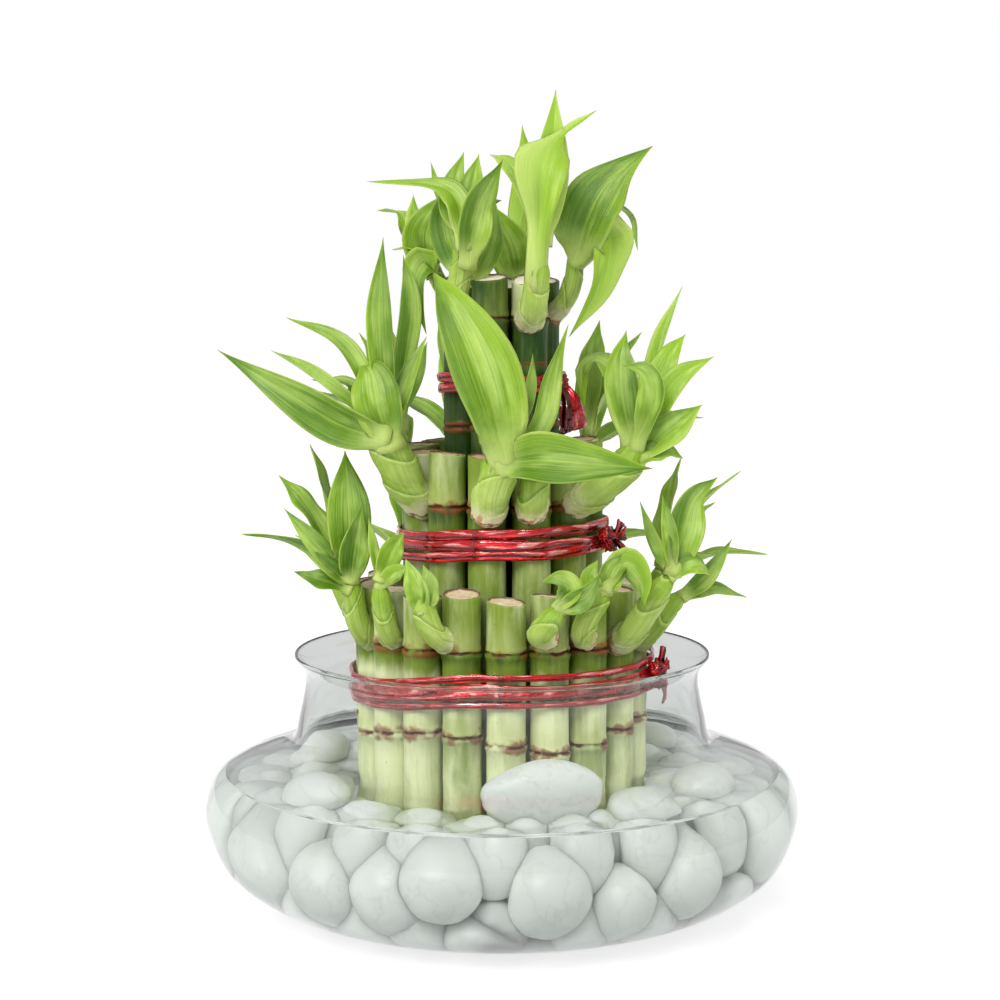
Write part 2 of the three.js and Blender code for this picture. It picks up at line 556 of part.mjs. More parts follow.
function backPebble(i, seed) {
  const angle = BACK_PEBBLES.start + i * BACK_PEBBLES.step + spread(seed, 62, BACK_SPREAD.turn);
  const half = BACK_PEBBLES.half.map((size, k) => size * (1 + spread(seed, 63 + k, BACK_SPREAD.size)));
  const reach = BACK_PEBBLES.reach + spread(seed, 66, BACK_SPREAD.reach);
  return [angle, reach, BACK_PEBBLES.height + spread(seed, 67, BACK_SPREAD.height), half];
}
function wallPebble([angle, reach, height, [along, across, up]], seed) {
  const stone = egg([along * WALL_STRETCH, across, up], WALL_SIDES);
  stone.rotateY(spread(seed, 61, WALL_SPREAD.tilt));
  stone.rotateZ(radians(angle + spread(seed, 60, WALL_SPREAD.turn)));
  const centre = outward(angle).multiplyScalar(reach);
  return solidOf(stone.translate(centre.x, centre.y, height));
}

// The pebbles against the wall: nearly a ring, open where the photograph shows a gap
function wallPebbles() {
  const front = WALL_PEBBLES.map((pebble, i) => wallPebble(pebble, FRONT_SEED + i));
  const seeds = Array.from({ length: BACK_PEBBLES.count }, (_, i) => BACK_SEED + i);
  const back = seeds.map((seed, i) => wallPebble(backPebble(i, seed), seed));
  return joined([...front, ...back]);
}

function surfacePebble([angle, reach, height, half], grow = 0) {
  const stone = egg(half, SURFACE_SIDES, grow).rotateZ(radians(angle));
  const centre = outward(angle).multiplyScalar(reach);
  return solidOf(stone.translate(centre.x, centre.y, height));
}

// A band follows the outsides of a tier's canes, straight from one to the next; where the
// canes are few it turns round each in two steps
const FEW_CANES = 8;
function bandOutline(tier, offset) {
  const step = 360 / tier.count;
  const turns = tier.count > FEW_CANES ? [-0.49, 0.49] : [-0.49, 0, 0.49];
  const points = [];
  for (let i = 0; i < tier.count; i++) {
    for (const turn of turns) {
      const point = place(tier, i).addScaledVector(outward(tier.first + (i + turn) * step), offset);
      points.push(new THREE.Vector2(point.x, point.y));
    }
  }
  return points;
}
function band({ tier: tierName, height, wide, knot, tails }) {
  const tier = TIERS[tierName];
  const clear = tier.radius + RADIUS_SPREAD + NODE_SWELL + BAND_GAP;
  const shape = new THREE.Shape(bandOutline(tier, clear + BAND_THICKNESS));
  shape.holes.push(new THREE.Path(bandOutline(tier, clear).reverse()));
  const ring = new THREE.ExtrudeGeometry(shape, { depth: wide, bevelEnabled: false });
  const pieces = [solidOf(ring.translate(0, 0, height - wide / 2))];
  const way = outward(knot);
  const across = outward(knot + 90);
  const centre = way.clone().multiplyScalar(tier.ring + clear + BAND_THICKNESS + KNOT_RADIUS * 0.6);
  centre.z = height;
  const ball = new THREE.SphereGeometry(KNOT_RADIUS, ...KNOT_SIDES);
  pieces.push(solidOf(ball.translate(centre.x, centre.y, centre.z)));
  for (const [out, drop] of tails) {
    const middle = centre.clone().addScaledVector(way, out * 0.5);
    middle.z += drop * 0.35;
    const end = centre.clone().addScaledVector(way, out * 0.6).addScaledVector(across, out * 0.35);
    end.z += drop;
    pieces.push(blade(TAIL_WIDTH, way, [centre, middle, end], TAIL_FOLD));
  }
  return joined(pieces);
}

const paint = (color, roughness, extra = {}) => new THREE.MeshStandardMaterial({ color, roughness, ...extra });
const MATERIALS = {
  glass: paint(0xeef4f2, 0.03, { transparent: true, opacity: 0.25 }),
  water: paint(0xe6f0ee, 0.02, { transparent: true, opacity: 0.3 }),
  pebble: paint(0xe9ece8, 0.45),
  plant: paint(0x8ab84a, 0.45),
  ribbon: paint(0xb01824, 0.28, { metalness: 0.75 }),
};

const object = new THREE.Group();
const addPiece = (name, solid, material) => {
  const mesh = new THREE.Mesh(geometryOf(solid), MATERIALS[material]);
  mesh.name = name;
  object.add(mesh);
};

addPiece("bowl", bowl(), "glass");
for (const ring of PEBBLE_RINGS) {
  addPiece(`pebbles_${ring.name}`, pebbleRing(ring), "pebble");
}
addPiece("pebbles_wall", wallPebbles(), "pebble");
SURFACE_PEBBLES.forEach((pebble, i) => {
  addPiece(`pebble_surface_${i + 1}`, surfacePebble(pebble), "pebble");
});
addPiece("water", water(), "water");
const centreCane = { ...CENTRE_CANE, nodes: [CENTRE_CANE.node] };
addPiece("cane_centre", cane(centreCane, new THREE.Vector3()), "plant");
for (const [tierName, tier] of Object.entries(TIERS)) {
  for (let i = 0; i < tier.count; i++) {
    addPiece(`cane_${tierName}_${i}`, leafyCane(tierName, i), "plant");
  }
}
for (const ribbon of BANDS) {
  addPiece(ribbon.name, band(ribbon), "ribbon");
}

export default object;
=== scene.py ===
"""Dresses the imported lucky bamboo: canes with shoots, foil ribbons, pebbles, water and a glass bowl.

Tables hold millimetres. The side seen in the photograph faces -Y, with +X to its right.
"""

import math

import bmesh
import bpy
from bpy.props import FloatProperty, FloatVectorProperty, IntProperty, PointerProperty
from mathutils import Matrix, Vector, noise


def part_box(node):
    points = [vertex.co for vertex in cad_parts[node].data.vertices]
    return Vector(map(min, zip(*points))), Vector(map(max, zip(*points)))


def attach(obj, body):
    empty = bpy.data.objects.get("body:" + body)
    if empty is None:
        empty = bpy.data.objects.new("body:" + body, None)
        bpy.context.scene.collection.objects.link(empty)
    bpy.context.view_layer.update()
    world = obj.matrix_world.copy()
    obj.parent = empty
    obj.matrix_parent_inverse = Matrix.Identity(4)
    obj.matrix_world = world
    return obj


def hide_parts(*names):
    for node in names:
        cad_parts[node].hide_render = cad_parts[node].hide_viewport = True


bl_info = {
    "name": "Lucky Bamboo",
    "version": (1, 0, 0),
    "blender": (4, 5, 0),
    "location": "3D View > Sidebar > Lucky Bamboo",
    "description": "Makes a three-tier lucky bamboo in a glass bowl over its packed frame",
    "category": "Object",
}

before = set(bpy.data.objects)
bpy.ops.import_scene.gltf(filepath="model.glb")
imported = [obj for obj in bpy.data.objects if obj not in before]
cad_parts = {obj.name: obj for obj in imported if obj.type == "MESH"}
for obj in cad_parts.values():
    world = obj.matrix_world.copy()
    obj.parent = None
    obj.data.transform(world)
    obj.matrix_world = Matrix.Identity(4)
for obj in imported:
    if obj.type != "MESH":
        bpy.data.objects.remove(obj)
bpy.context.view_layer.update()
MM = 0.001
BODY = "root"
LENGTH_STEPS = 24  # straight steps that measure a curve
FRAME_STEP = 0.002  # the share of a curve that gives its way at a point

# Bowl and water
BOWL_PROFILE = [
    (34, 0),
    (47, 0.9),
    (56, 3.2),
    (63.5, 6.8),
    (70.4, 12.6),
    (74.1, 21),
    (74.8, 27),
    (72.6, 33),
    (68, 36.2),
    (62, 38.5),
    (56.4, 40.3),
    (53.3, 42),
    (52, 44.4),
    (51.2, 48.5),
    (50.2, 53),
    (49.5, 57.5),
    (50.1, 61),
    (52.3, 64),
]
BOWL_FLOOR = 3
SOLID_WALL = 2  # thickness of the solid bowl's wall
FLOOR_RADIUS = 42
CORE_RADIUS = 12  # the innermost ring of a turned piece
UNDERSIDE_RADIUS = 30
RIM_RISE = 0.7
RIM_THINNING = 0.7  # how much thinner the wall is at the rim
THINNING_HEIGHTS = (36, 60)  # where the wall begins to thin, and where it is thinnest
PROFILE_STEPS = 5
LIP_STEPS = 6
WATER_OVERLAP = 0.15
WATER_DIP = 1.6  # how far the flat of the water lies under the top of its solid
MENISCUS = 1.9  # how far the water climbs the glass
# How far in from the glass the drawn-up water reaches, and how much of its height is left there
MENISCUS_STEPS = ((0, 1), (0.25, 0.62), (0.7, 0.3), (1.4, 0.1), (2.6, 0.02), (4.5, 0), (24, 0), (48, 0))

# Canes in three tiers. Angles are degrees from the front, growing towards +X. The nodes and the cut are
# heights, and the tilt is how steeply the cuts rise towards the back, as rise over run.
TIERS = {
    "top": {
        "count": 6, "ring": 10.1, "first": -18, "radius": 4.5,
        "lower": 121, "node": 148.5, "cut": 158.5, "tilt": 0.24,
    },
    "mid": {
        "count": 12, "ring": 20.8, "first": -10, "radius": 4.65,
        "lower": None, "node": 103, "cut": 116.5, "tilt": 0,
    },
    "low": {
        "count": 19, "ring": 32.3, "first": 1.7, "radius": 4.7,
        "lower": 47, "node": 69.6, "cut": 82.5, "tilt": 0.06,
    },
}
# How green the skin is above a cane's upper node, just under it and further down, and how dry its cut is
TIER_TONES = {
    "top": {"above": 1, "under": 1.12, "below": 1.06, "dry": 0.05},
    "mid": {"above": 0.44, "under": 0.84, "below": 0.42, "dry": 0.85},
    "low": {"above": 0.36, "under": 0.62, "below": 0.06, "dry": 0.4},
}
CANE_TONES = {"top_1": {"above": 0.4}}  # canes that differ from their tier
TONE_SPREAD = 0.16
UNDER_FADE = 9  # how far under a node its green fades
CENTRE_CANE = {"cut": 157, "node": 147, "radius": 4.5, "tilt": 0.24, "seed": 1}
CANE_FOOT = 3.35
RADIUS_SPREAD = 0.12
CUT_SPREAD = 1.2
LOWER_NODE_SPREAD = 3
CUT_SLOPE = 0.12
NODE_SWELL = 0.35
# The ring of a node: its swellings and its groove, each as height, middle and width
NODE_FORM = ((0.42, -0.9, 0.8), (-0.4, 0, 0.26), (0.26, 0.75, 0.5))
NODE_RAGGED = 0.35
NODE_REACH = 5
CUT_REACH = 1
SKIN_LUMP = 0.2
CANE_SIDES = 28
LEVEL_STEP = 6.5
NODE_LEVELS = (-4, -2.4, -1.6, -1.1, -0.7, -0.4, -0.2, 0, 0.2, 0.45, 0.8, 1.3, 2.2, 4)
SKIN, CUT, SHEATH, LEAF = range(4)  # the finishes of a cane's faces
# A cut face from its rim inwards: share of the radius and height over the cut
CUT_RINGS = ((0.94, 0.02), (0.86, -0.3), (0.6, -0.45), (0.3, -0.35))
CUT_BEVEL = 0.22
CUT_RAGGED = 0.22
CUT_GRAIN = 0.16

# Leaves and stems
BLADE_FOLD = 0.3
BLADE_STEPS = 20
HALF_BLADE = (0, 0.06, 0.2, 0.42, 0.68, 0.88, 1)  # where points stand between a leaf's rib and its edge
BLADE_THICK = (0.95, 0.34)
EDGE_THICK = 0.22
UNDER_TONE = -0.12  # a leaf's underside is paler by this
NECK_FOLD = 0.45  # how much deeper a leaf is folded just over its neck
NECK_LIMIT = 0.72
# How far along a leaf it has opened from the stem that it wraps
BLADE_OPENING = 0.2
TRUMPET_OPENING = 0.34
GRIP = 1.04  # the radius of a leaf's foot, as a share of the stem's at its top
RIPPLE = 0.14
TRUMPETS = {"top_1"}  # shoots whose first leaf opens like a trumpet from a long neck
# How deep a green a shoot's leaves have, where it shows
SHOOT_TONES = {
    "top_1": -0.28, "top_2": 0.8, "top_3": 0.2, "top_4": 0.15, "top_5": 0.4, "mid_0": 0.4, "mid_2": 0.12,
    "mid_9": 0.5, "mid_10": 0.3, "low_3": 0.3, "low_15": 0.95,
}
# The same for the single leaves of some shoots, in the order of their rows
LEAF_TONES = {
    "top_2": (0.85, 0.7, -0.15),
    "top_3": (0.25, 0.2, 0.3, 0.1),
    "mid_0": (0.46, 0.36, 0.5, 0.68),
    "mid_10": (0.5, 0.85, 0.4, 0.66, 0.4, 0.4),
}
STEM_SIDES = 24
STEM_STEPS = 36
STEM_FACE = (0.3, -1, 0.1)
STEM_RIBS = 7
STEM_RIB_DEPTH = 0.035
STEM_LUMP = 0.08
STEM_CLOSE = 0.6  # how much a stem narrows at its top, among its leaves
COLLAR_LENGTH = 8
SHEATH_SLANT = 0.42  # how far a sheath's edge slopes round the stem
SHEATH_STEP = 0.14  # how much thicker a sheath is at its edge than the one inside it
BULB_TURNS = (1.25, 0.85, 0.4)

# Foil ribbon: the tier it ties, its middle height, its width, how many turns show, its knot's angle from
# the front, how far it sags on the left, and its tails as (across, out, drop, width)
BANDS = [
    {
        "name": "ribbon_top", "tier": "top", "height": 132.5, "wide": 5, "turns": 2, "knot": 52,
        "sag": 0, "tails": [(2.6, 4, -11.5, 11), (0.5, 7, -11, 8), (-4, 2, 3, 4)],
    },
    {
        "name": "ribbon_middle", "tier": "mid", "height": 94.5, "wide": 8, "turns": 3, "knot": 68,
        "sag": 1.8, "tails": [(1, 4, 4, 5), (-1, 6, -6, 5), (3, 5, 1, 4)],
    },
    {
        "name": "ribbon_bottom", "tier": "low", "height": 61, "wide": 7.4, "turns": 4, "knot": 76,
        "sag": 3.4, "tails": [(1, 1, 6, 5), (1, 2, -8, 5), (2, 3, 2, 4)],
    },
]
BAND_CLEAR = 0.2
BAND_THICKNESS = 0.9
BAND_ARC = (-0.49, -0.25, 0, 0.25, 0.49)  # where the band bears on a cane, as shares of a step of the ring
KNOT_RADIUS = 2.6
# Lumps of the knot: how far across and up each lies, and its half sizes
KNOT_LUMPS = (
    (0, 0, (KNOT_RADIUS, KNOT_RADIUS, KNOT_RADIUS * 1.15)),
    (-2.8, 1.2, (2.2, 2.2, 1.8)),
    (1.6, -1.8, (1.9, 1.9, 2.2)),
)
KNOT_FINENESS = 4
FOIL_STEP = 1.15
FOIL_ROUND = 10
STRAND = {"thick": 0.5, "crumple": 0.2, "twist": 0.9, "uneven": 0.3, "drift": 0.6, "fill": 0.97}
TAIL_PLEATS = 11
TAIL_STEPS = 16

# Pebbles against the glass in front: angle, distance from the axis, height, half sizes along,
# across and up. Those at the back follow a rule.
WALL_STONES = [
    (-79, 61.5, 23.6, (9.6, 8.6, 8)),
    (-59, 61.5, 19.4, (11.6, 9.2, 7.8)),
    (-39, 61.5, 18.6, (8.8, 8.6, 7.9)),
    (-24, 60, 18.8, (9, 8.2, 8.6)),
    (-12.5, 62, 22, (9.5, 8.4, 8.2)),
    (9.5, 62, 19.6, (9, 8.6, 9)),
    (25.4, 60.3, 16.4, (7.8, 8, 7.6)),
    (41.5, 62, 19.8, (8.4, 8.4, 7.8)),
    (69, 62, 23.6, (9.6, 8.8, 8.4)),
]
BACK_STONES = {
    "count": 10, "start": 89, "step": 19.2, "reach": 61.3, "height": 20.5, "half": (9.2, 8.6, 8.8),
}
BACK_SPREAD = {"size": 0.08, "height": 2, "reach": 0.6, "turn": 2}
# Pebbles that show low down and far in between those against the glass
LOW_STONES = [(-4, 57.5, 10.4, (9.4, 7.6, 6.4)), (56, 59, 12.4, (9.4, 7.6, 7))]
HIGH_STONES = [
    (6, 50.4, 26.6, (7.6, 6.4, 6.8)),
    (27.5, 50.4, 26.6, (7.2, 6.4, 6.8)),
    (-6, 50, 26.5, (8.8, 6.8, 7)),
    (18, 51, 26.2, (8.6, 6.8, 7.4)),
    (37, 51, 26.4, (8.4, 6.8, 7.2)),
    (57, 51.5, 25, (9, 7, 7.6)),
]
FILLERS = {"reach": 58.2, "heights": (26, 12), "half": (7.2, 6, 7.2)}  # one over the other in each gap
FLOOR_STONES = {"count": 15, "start": -4, "step": 24, "reach": 53, "height": 10, "half": (9.6, 8.2, 6.4)}
FOOT_STONES = {"count": 17, "start": 8, "step": 21.2, "reach": 45, "height": 12.5, "half": (8.8, 6.2, 6.6)}
INNER_STONES = {"count": 12, "start": 80, "step": 22.5, "reach": 46, "height": 24.5, "half": (9.4, 7.2, 7.4)}
SURFACE_STONES = [
    (12, 45, 36.6, (14.4, 6.2, 9.2)),
    (40, 51.8, 32.2, (9.6, 7.4, 5.4)),
    (72, 52.4, 32.6, (11, 7.4, 5.6)),
    (131, 52.2, 32.4, (11, 7.2, 5.2)),
    (178, 51.8, 32.2, (10.6, 7.2, 5.2)),
    (-112, 52.2, 32.4, (11, 7.2, 5.4)),
    (-59, 52.4, 32.6, (11, 7.4, 5.6)),
]
STONE_SPREAD = {"size": 0.16, "height": 2.2, "reach": 1.6, "turn": 5}
# How far a pebble is turned, in degrees, and tilted, in radians, at most
LOOSE_LIE = (20, 0.35)
HELD_LIE = (6, 0.12)
STONE_LUMP = 0.09
STONE_GRAIN = 0.02
STONE_TOP = 34  # loose pebbles stay under this height
STONE_GAP = 0.4
CLOSING_HEIGHT = 33  # the bowl closes in above this height
NECK_FOOT = 44  # height where the bowl's neck begins
NECK_CLEAR = 48  # how far out a pebble may reach in the neck
# The rings in front have the finer stones
NEAR_RINGS = {"pebbles_wall", "pebble_surface_1", "pebble_surface_2", "pebble_surface_7"}
NEAR_FINENESS = 4
FAR_FINENESS = 3
SETTLE_ROUNDS = 60
SETTLE_SHARE = 0.97
SETTLE_REACH = 30  # pebbles further apart than this can't touch
BUNDLE_RADIUS = 38.2

# Camera, floor and lights: the eye is in millimetres, and the camera, the floor and the lamps in metres
EYE_DISTANCE = 550
EYE_HEIGHT = 158.5
CAMERA_PLACE = (-0.0005, -EYE_DISTANCE * MM, EYE_HEIGHT * MM)
CAMERA_PITCH = 5.79
CAMERA_LENS = 79.2
FLOOR_HALF = 3.0
# How much of the plain white is seen through glass, reaches what stands in the bowl, and is reflected
GLASS_VIEW = 0.14
INSIDE_VIEW = 0.9
GLOSS_VIEW = 0.3
FLOOR_GLOW = 0.75
GLASS_GLOW = 0.32  # the floor's glow where it is seen through glass
LAMP_AIM = (0, 0, 0.09)
DAYLIGHT_PLACE = (-0.35, -0.85, 0.9)
DAYLIGHT_SPREAD = 28
# Lamps with their place and their width and height
FOIL_STRIP = ((-0.1, -0.7, 0.62), (0.7, 0.03))
SOFT_BOXES = {
    "Left Box": ((-0.6, -0.35, 0.5), (0.16, 0.5)),
    "Right Box": ((0.65, -0.2, 0.45), (0.16, 0.5)),
}

# Shoots seen in the photograph. Points are (across, up, depth) as seen from the front; a stem is its
# radii at foot and top and its points, and a leaf is its width, the way its face looks, and the points
# of its spine from the stem to the tip.
SHOOTS = {
    "top_1": {
        "stem": [[3.5, 2.5], [[6.6, 147.6, -10], [7.6, 151, -15], [8.8, 158, -17], [9.4, 165, -17.5]]],
        "leaves": [
            [14, [0, -1, 0.3], [8.1, 154.5, -16.4], [9.2, 172, -18.5], [10, 185.5, -18.5], [14, 193, -11],
                [23.5, 199.5, -4]],
            [9, [0.1, -1, 0], [9.8, 166, -15], [12.3, 186, -10], [13.3, 204.7, -8]],
            [7, [0.3, -0.8, 0.5], [9.2, 168, -15], [2.5, 185, -10], [-3.2, 188.7, -4]],
        ],
    },
    "top_2": {
        "stem": [[2.4, 1.9], [[12.5, 148.8, 0], [16.5, 154, -4], [18.6, 163, -6], [20, 168, -7]]],
        "leaves": [
            [15.6, [-0.3, -1, 0.2], [18.4, 161, -7], [21.5, 173, -9.5], [27, 182.4, -8], [37.4, 190.8, -4]],
            [7.5, [0.1, -0.4, 1], [20, 166, -5], [26.5, 175, -2], [31.5, 173.5, 0], [33.8, 164.8, 2]],
            [10.6, [0.5, -1, 0.1], [20, 166, -7], [26.6, 168, -8.5], [24.6, 156.5, -9.5],
                [16.6, 143.4, -9.5]],
        ],
    },
    "top_3": {
        "stem": [[2.4, 1.8], [[3.5, 148.6, 12], [4.5, 153, 16], [4, 160, 17], [3, 166, 16]]],
        "leaves": [
            [12, [0.2, -1, 0.1], [3, 158, 14], [0.6, 167, 9], [-5, 178.5, 6]],
            [9, [0.5, 0.6, 0.8], [3.5, 163, 17], [10, 176, 23], [20, 180, 31]],
            [8, [-0.5, 0.6, 0.8], [3, 163, 18], [-4, 177, 26], [-10, 179, 36]],
            [8, [0, 1, 0.2], [3, 165, 17], [6, 181, 20], [5, 196, 21]],
        ],
    },
    "top_4": {
        "stem": [[2.3, 1.8], [[-8, 148.6, 11], [-13, 153, 13], [-16.5, 159, 13], [-18, 164, 12]]],
        "leaves": [
            [11.5, [-0.2, -1, 0.1], [-17.6, 160.5, 12], [-18.5, 170, 9.5], [-12.6, 180, 8]],
            [5.5, [0, -1, 0.2], [-18, 162, 12], [-21.6, 171, 13], [-22, 179, 13]],
            [8.8, [-0.3, -1, 0], [-17.2, 158.5, 9], [-19.2, 162, 8.5], [-21.4, 156.5, 6], [-18.8, 144, 3]],
            [3, [0, -0.3, 1], [-18, 162, 11], [-22.5, 165.4, 9], [-27.4, 165.2, 8]],
            [8, [-0.6, 0.5, 0.8], [-17.5, 162, 14], [-23, 173, 22], [-31, 175, 30]],
        ],
    },
    "top_5": {
        "stem": [[2.8, 2.6], [[-11.5, 148.6, -6], [-10.6, 156, -9], [-9.4, 163, -10], [-9, 169, -10]]],
        "leaves": [
            [7.5, [-0.1, -0.6, 0.9], [-9, 165, -10.5], [-11.5, 177, -11], [-17.5, 181, -10],
                [-33.7, 182, -7]],
            [9, [0.3, -1, 0.1], [-9, 161, -11], [-6, 176, -14.5], [0.3, 187.6, -16.5]],
            [8, [0, -1, 0], [-8.6, 168, -9], [-7.8, 179, -7], [-5.7, 188.8, -6]],
            [7.5, [-0.3, -1, 0], [-9, 168, -8.5], [-12.2, 179, -5.5], [-9.4, 189.4, -4]],
            [3, [-0.3, -1, 0], [-9.4, 168.5, -9], [-15.2, 179, -3], [-17.7, 187, -1]],
            [9, [-0.2, -1, 0], [-9.6, 158, -7], [-14, 171, -3], [-13.6, 183, 0]],
            [8, [0.4, -1, 0], [-8.6, 156, -8], [-3.4, 168, -7], [-2.4, 180, -4]],
        ],
    },
    "mid_0": {
        "stem": [[4, 4.2], [[-3.4, 99.5, -25], [-2.6, 104, -29], [-0.8, 110, -30.5], [0.2, 115, -31]]],
        "leaves": [
            [16.8, [0.3, -1, 0.1], [0, 111, -30.5], [-2.2, 125, -33.5], [-6.2, 139, -33],
                [-12.2, 151.5, -29.5], [-17.4, 160, -19]],
            [6.5, [0.5, -1, 0], [2, 114, -30.5], [9.6, 123, -30.5], [12.8, 135.5, -26], [16.6, 147, -21]],
            [3.6, [-0.3, -1, 0], [2, 116, -31.5], [6.8, 129, -32], [7.7, 139.7, -31]],
            [13, [0, -1, 0.35], [0.4, 111.5, -31], [9.5, 112.6, -35.5], [23.2, 111.6, -37.5],
                [38, 110.6, -34]],
        ],
    },
    "mid_1": {
        "stem": [[3.7, 2.8], [[7.2, 100, -23], [8, 103.5, -27.5], [8.3, 107, -28.5], [8.5, 110.5, -28.8]]],
        "leaves": [[5, [0.2, -1, 0], [8.4, 107, -28.5], [11.5, 113, -29], [13.5, 119.5, -26.5]]],
    },
    "mid_2": {
        "stem": [[3.9, 3.7], [[17.6, 101.6, -14.6], [23.4, 104.6, -19.6], [31, 111.5, -19],
            [34.3, 118, -17.5]]],
        "leaves": [
            [9, [0, -1, 0.1], [33, 115, -17.5], [30.2, 127.5, -15], [29.4, 137.7, -12.5], [31, 145.3, -10]],
            [4.4, [-0.5, -1, 0.2], [34.4, 116, -15], [38.2, 140, -9], [45, 156.5, -5]],
            [7, [-0.2, -1, 0.1], [34.4, 116, -16.5], [40.3, 136, -14], [45.8, 144.4, -10]],
            [6.4, [0, -1, 0.4], [34.6, 116, -17.5], [43, 132.4, -17.5], [53, 138.8, -15]],
            [7, [-0.4, -1, 0.2], [33.6, 115, -19], [37.6, 127.5, -22], [36, 135, -21.5], [30, 136.5, -19.5]],
            [9, [-0.2, -1, 0.4], [33.6, 113, -18.5], [42.4, 120.4, -20], [50.2, 126.8, -18]],
            [7.5, [0, -0.8, 0.7], [32.8, 111, -19], [39.8, 115, -21], [45.6, 113.2, -20]],
            [6.2, [0, -0.6, 1], [34, 116, -14], [26, 136, -3], [20.5, 135.5, -1], [20.6, 125, 0]],
        ],
    },
    "mid_9": {
        "stem": [[3, 2.2], [[-21.5, 101.8, 5], [-26, 107, 5.5], [-28, 116, 5], [-27, 124, 4.5]]],
        "leaves": [
            [6.8, [-0.3, -1, 0], [-27.3, 121, 4.5], [-22.6, 149, 3.5], [-24.6, 164.2, 4.5]],
            [6, [-0.3, -1, 0.2], [-27.3, 121, 4], [-22, 133, 1], [-18.6, 142.5, 0]],
            [8, [-0.8, 0.3, 0.7], [-27.5, 119, 6], [-37, 131, 11], [-48, 133, 15]],
        ],
    },
    "mid_10": {
        "stem": [[4.3, 4.6], [[-19.6, 102, -10], [-24, 107, -14.6], [-28, 115.5, -18], [-30.4, 122, -18.5]]],
        "leaves": [
            [12.5, [0, -1, 0.2], [-28, 116, -19], [-31, 126, -21], [-32.6, 134, -19], [-35, 137.8, -12.5]],
            [11, [0, -1, 0.02], [-28.5, 118, -19.5], [-40.5, 121.6, -21], [-54.2, 130, -20],
                [-71.2, 140.5, -15]],
            [5, [0.2, -1, 0.4], [-29, 120, -17.5], [-39, 141.2, -14], [-54, 148.5, -9]],
            [7, [0.2, -1, 0], [-29, 120, -17], [-30.8, 148, -14], [-29.5, 168.6, -11]],
            [6, [-0.4, -1, 0.2], [-28.4, 118, -17.5], [-24.2, 131.5, -14.5], [-18.7, 144, -12]],
            [3.4, [0, -1, 0.1], [-29, 120, -17], [-45.5, 134, -15.5], [-58, 140.4, -13]],
        ],
    },
    "low_1": {
        "stem": [[2.9, 2.4], [[11.4, 67.6, -33.6], [9.6, 68.8, -38.6], [12, 71.8, -40.4],
            [15.5, 76.5, -39.8]]],
        "leaves": [
            [6, [-0.2, -1, 0.3], [14, 74.5, -39.5], [17.4, 79.8, -40], [14.6, 82.8, -40],
                [9.5, 81.8, -39.5]],
            [6, [0.3, -1, 0.3], [14.5, 75, -39.5], [20.5, 78, -41], [25, 84.4, -40]],
        ],
    },
    "low_2": {
        "stem": [[2.7, 2.3], [[21.4, 67.2, -27.4], [20.4, 69.4, -33.4], [23.6, 76, -35], [27, 81.6, -34.4]]],
        "leaves": [
            [7, [-0.3, -0.8, 0.6], [26, 79.5, -34.5], [31, 86.6, -35], [35.4, 82, -35], [36, 75.2, -34]],
            [6.4, [0.2, -1, 0.3], [25.6, 79.5, -34.5], [28, 85, -35.5], [32, 90, -33.5]],
            [5, [-0.4, -1, 0.2], [25, 78.8, -35], [22.4, 83.2, -36], [24.2, 87.6, -35]],
        ],
    },
    "low_3": {
        "stem": [[3.4, 2.5], [[28.8, 66.4, -19.4], [33, 69.4, -24.6], [38.6, 78, -26], [43.6, 85, -25]]],
        "leaves": [
            [9.4, [0.3, -1, 0], [42.6, 83.6, -25], [45.4, 94, -24.5], [48, 103, -22], [54.2, 108.6, -18.5]],
            [3.6, [-0.3, -1, 0], [42.6, 84, -24], [38.4, 92.6, -22], [34.5, 102.8, -20]],
            [4.2, [0, -1, 0], [43, 84, -25.5], [42, 95, -27], [40.2, 104.3, -26]],
            [6.2, [0, -0.7, 0.7], [42.8, 83, -25.5], [48.5, 86, -27], [52.6, 83.6, -25]],
        ],
    },
    "low_4": {
        "stem": [[2.7, 2.1], [[32.4, 65.6, -7], [37, 68.6, -12], [42.4, 75.6, -14], [46.4, 79.6, -14]]],
        "leaves": [
            [5.2, [0.3, -1, 0.3], [45, 78, -14], [52, 84, -13], [58, 93, -10]],
            [5, [0.4, -0.6, 0.8], [45, 77.6, -13.5], [53, 80, -10], [62, 78, -6]],
        ],
    },
    "low_15": {
        "stem": [[3, 2.3], [[-31.4, 66.4, -10], [-35.5, 70, -15], [-37.5, 78, -16.5], [-38.4, 85, -16]]],
        "leaves": [
            [8, [0.1, -1, 0], [-38.2, 82, -16.5], [-37, 91, -17.5], [-35.2, 101.6, -15.5]],
            [11.5, [0.1, -1, 0], [-38.4, 82.5, -15], [-38.6, 101, -12], [-39.4, 115.4, -9]],
            [5.6, [0, -1, 0.3], [-38.4, 82, -16], [-46.6, 91.4, -16], [-55, 100.8, -13]],
            [4.2, [0, -1, 0.4], [-38.4, 81, -16.5], [-44.4, 86.4, -18], [-51.2, 91, -16]],
            [6.2, [0, -0.8, 0.6], [-38.2, 79.6, -17], [-46, 82.4, -18], [-52.6, 84.6, -16.5]],
        ],
    },
    "low_16": {
        "stem": [[2.8, 2.1], [[-26.4, 66.8, -19], [-28.6, 69, -24.5], [-30.2, 76, -26.5], [-31, 84, -26]]],
        "leaves": [
            [2.8, [0.2, -1, 0], [-31, 82, -25.5], [-32.4, 91, -24.5], [-33.6, 98.4, -22]],
            [6.2, [0.1, -1, 0.2], [-30.8, 82, -26], [-27.6, 90, -25.5], [-24.6, 94.8, -23.5]],
            [4.6, [-0.3, -1, 0.4], [-30.8, 80.5, -26.5], [-26.4, 84.4, -29], [-23.4, 85.4, -30]],
        ],
    },
    "low_18": {
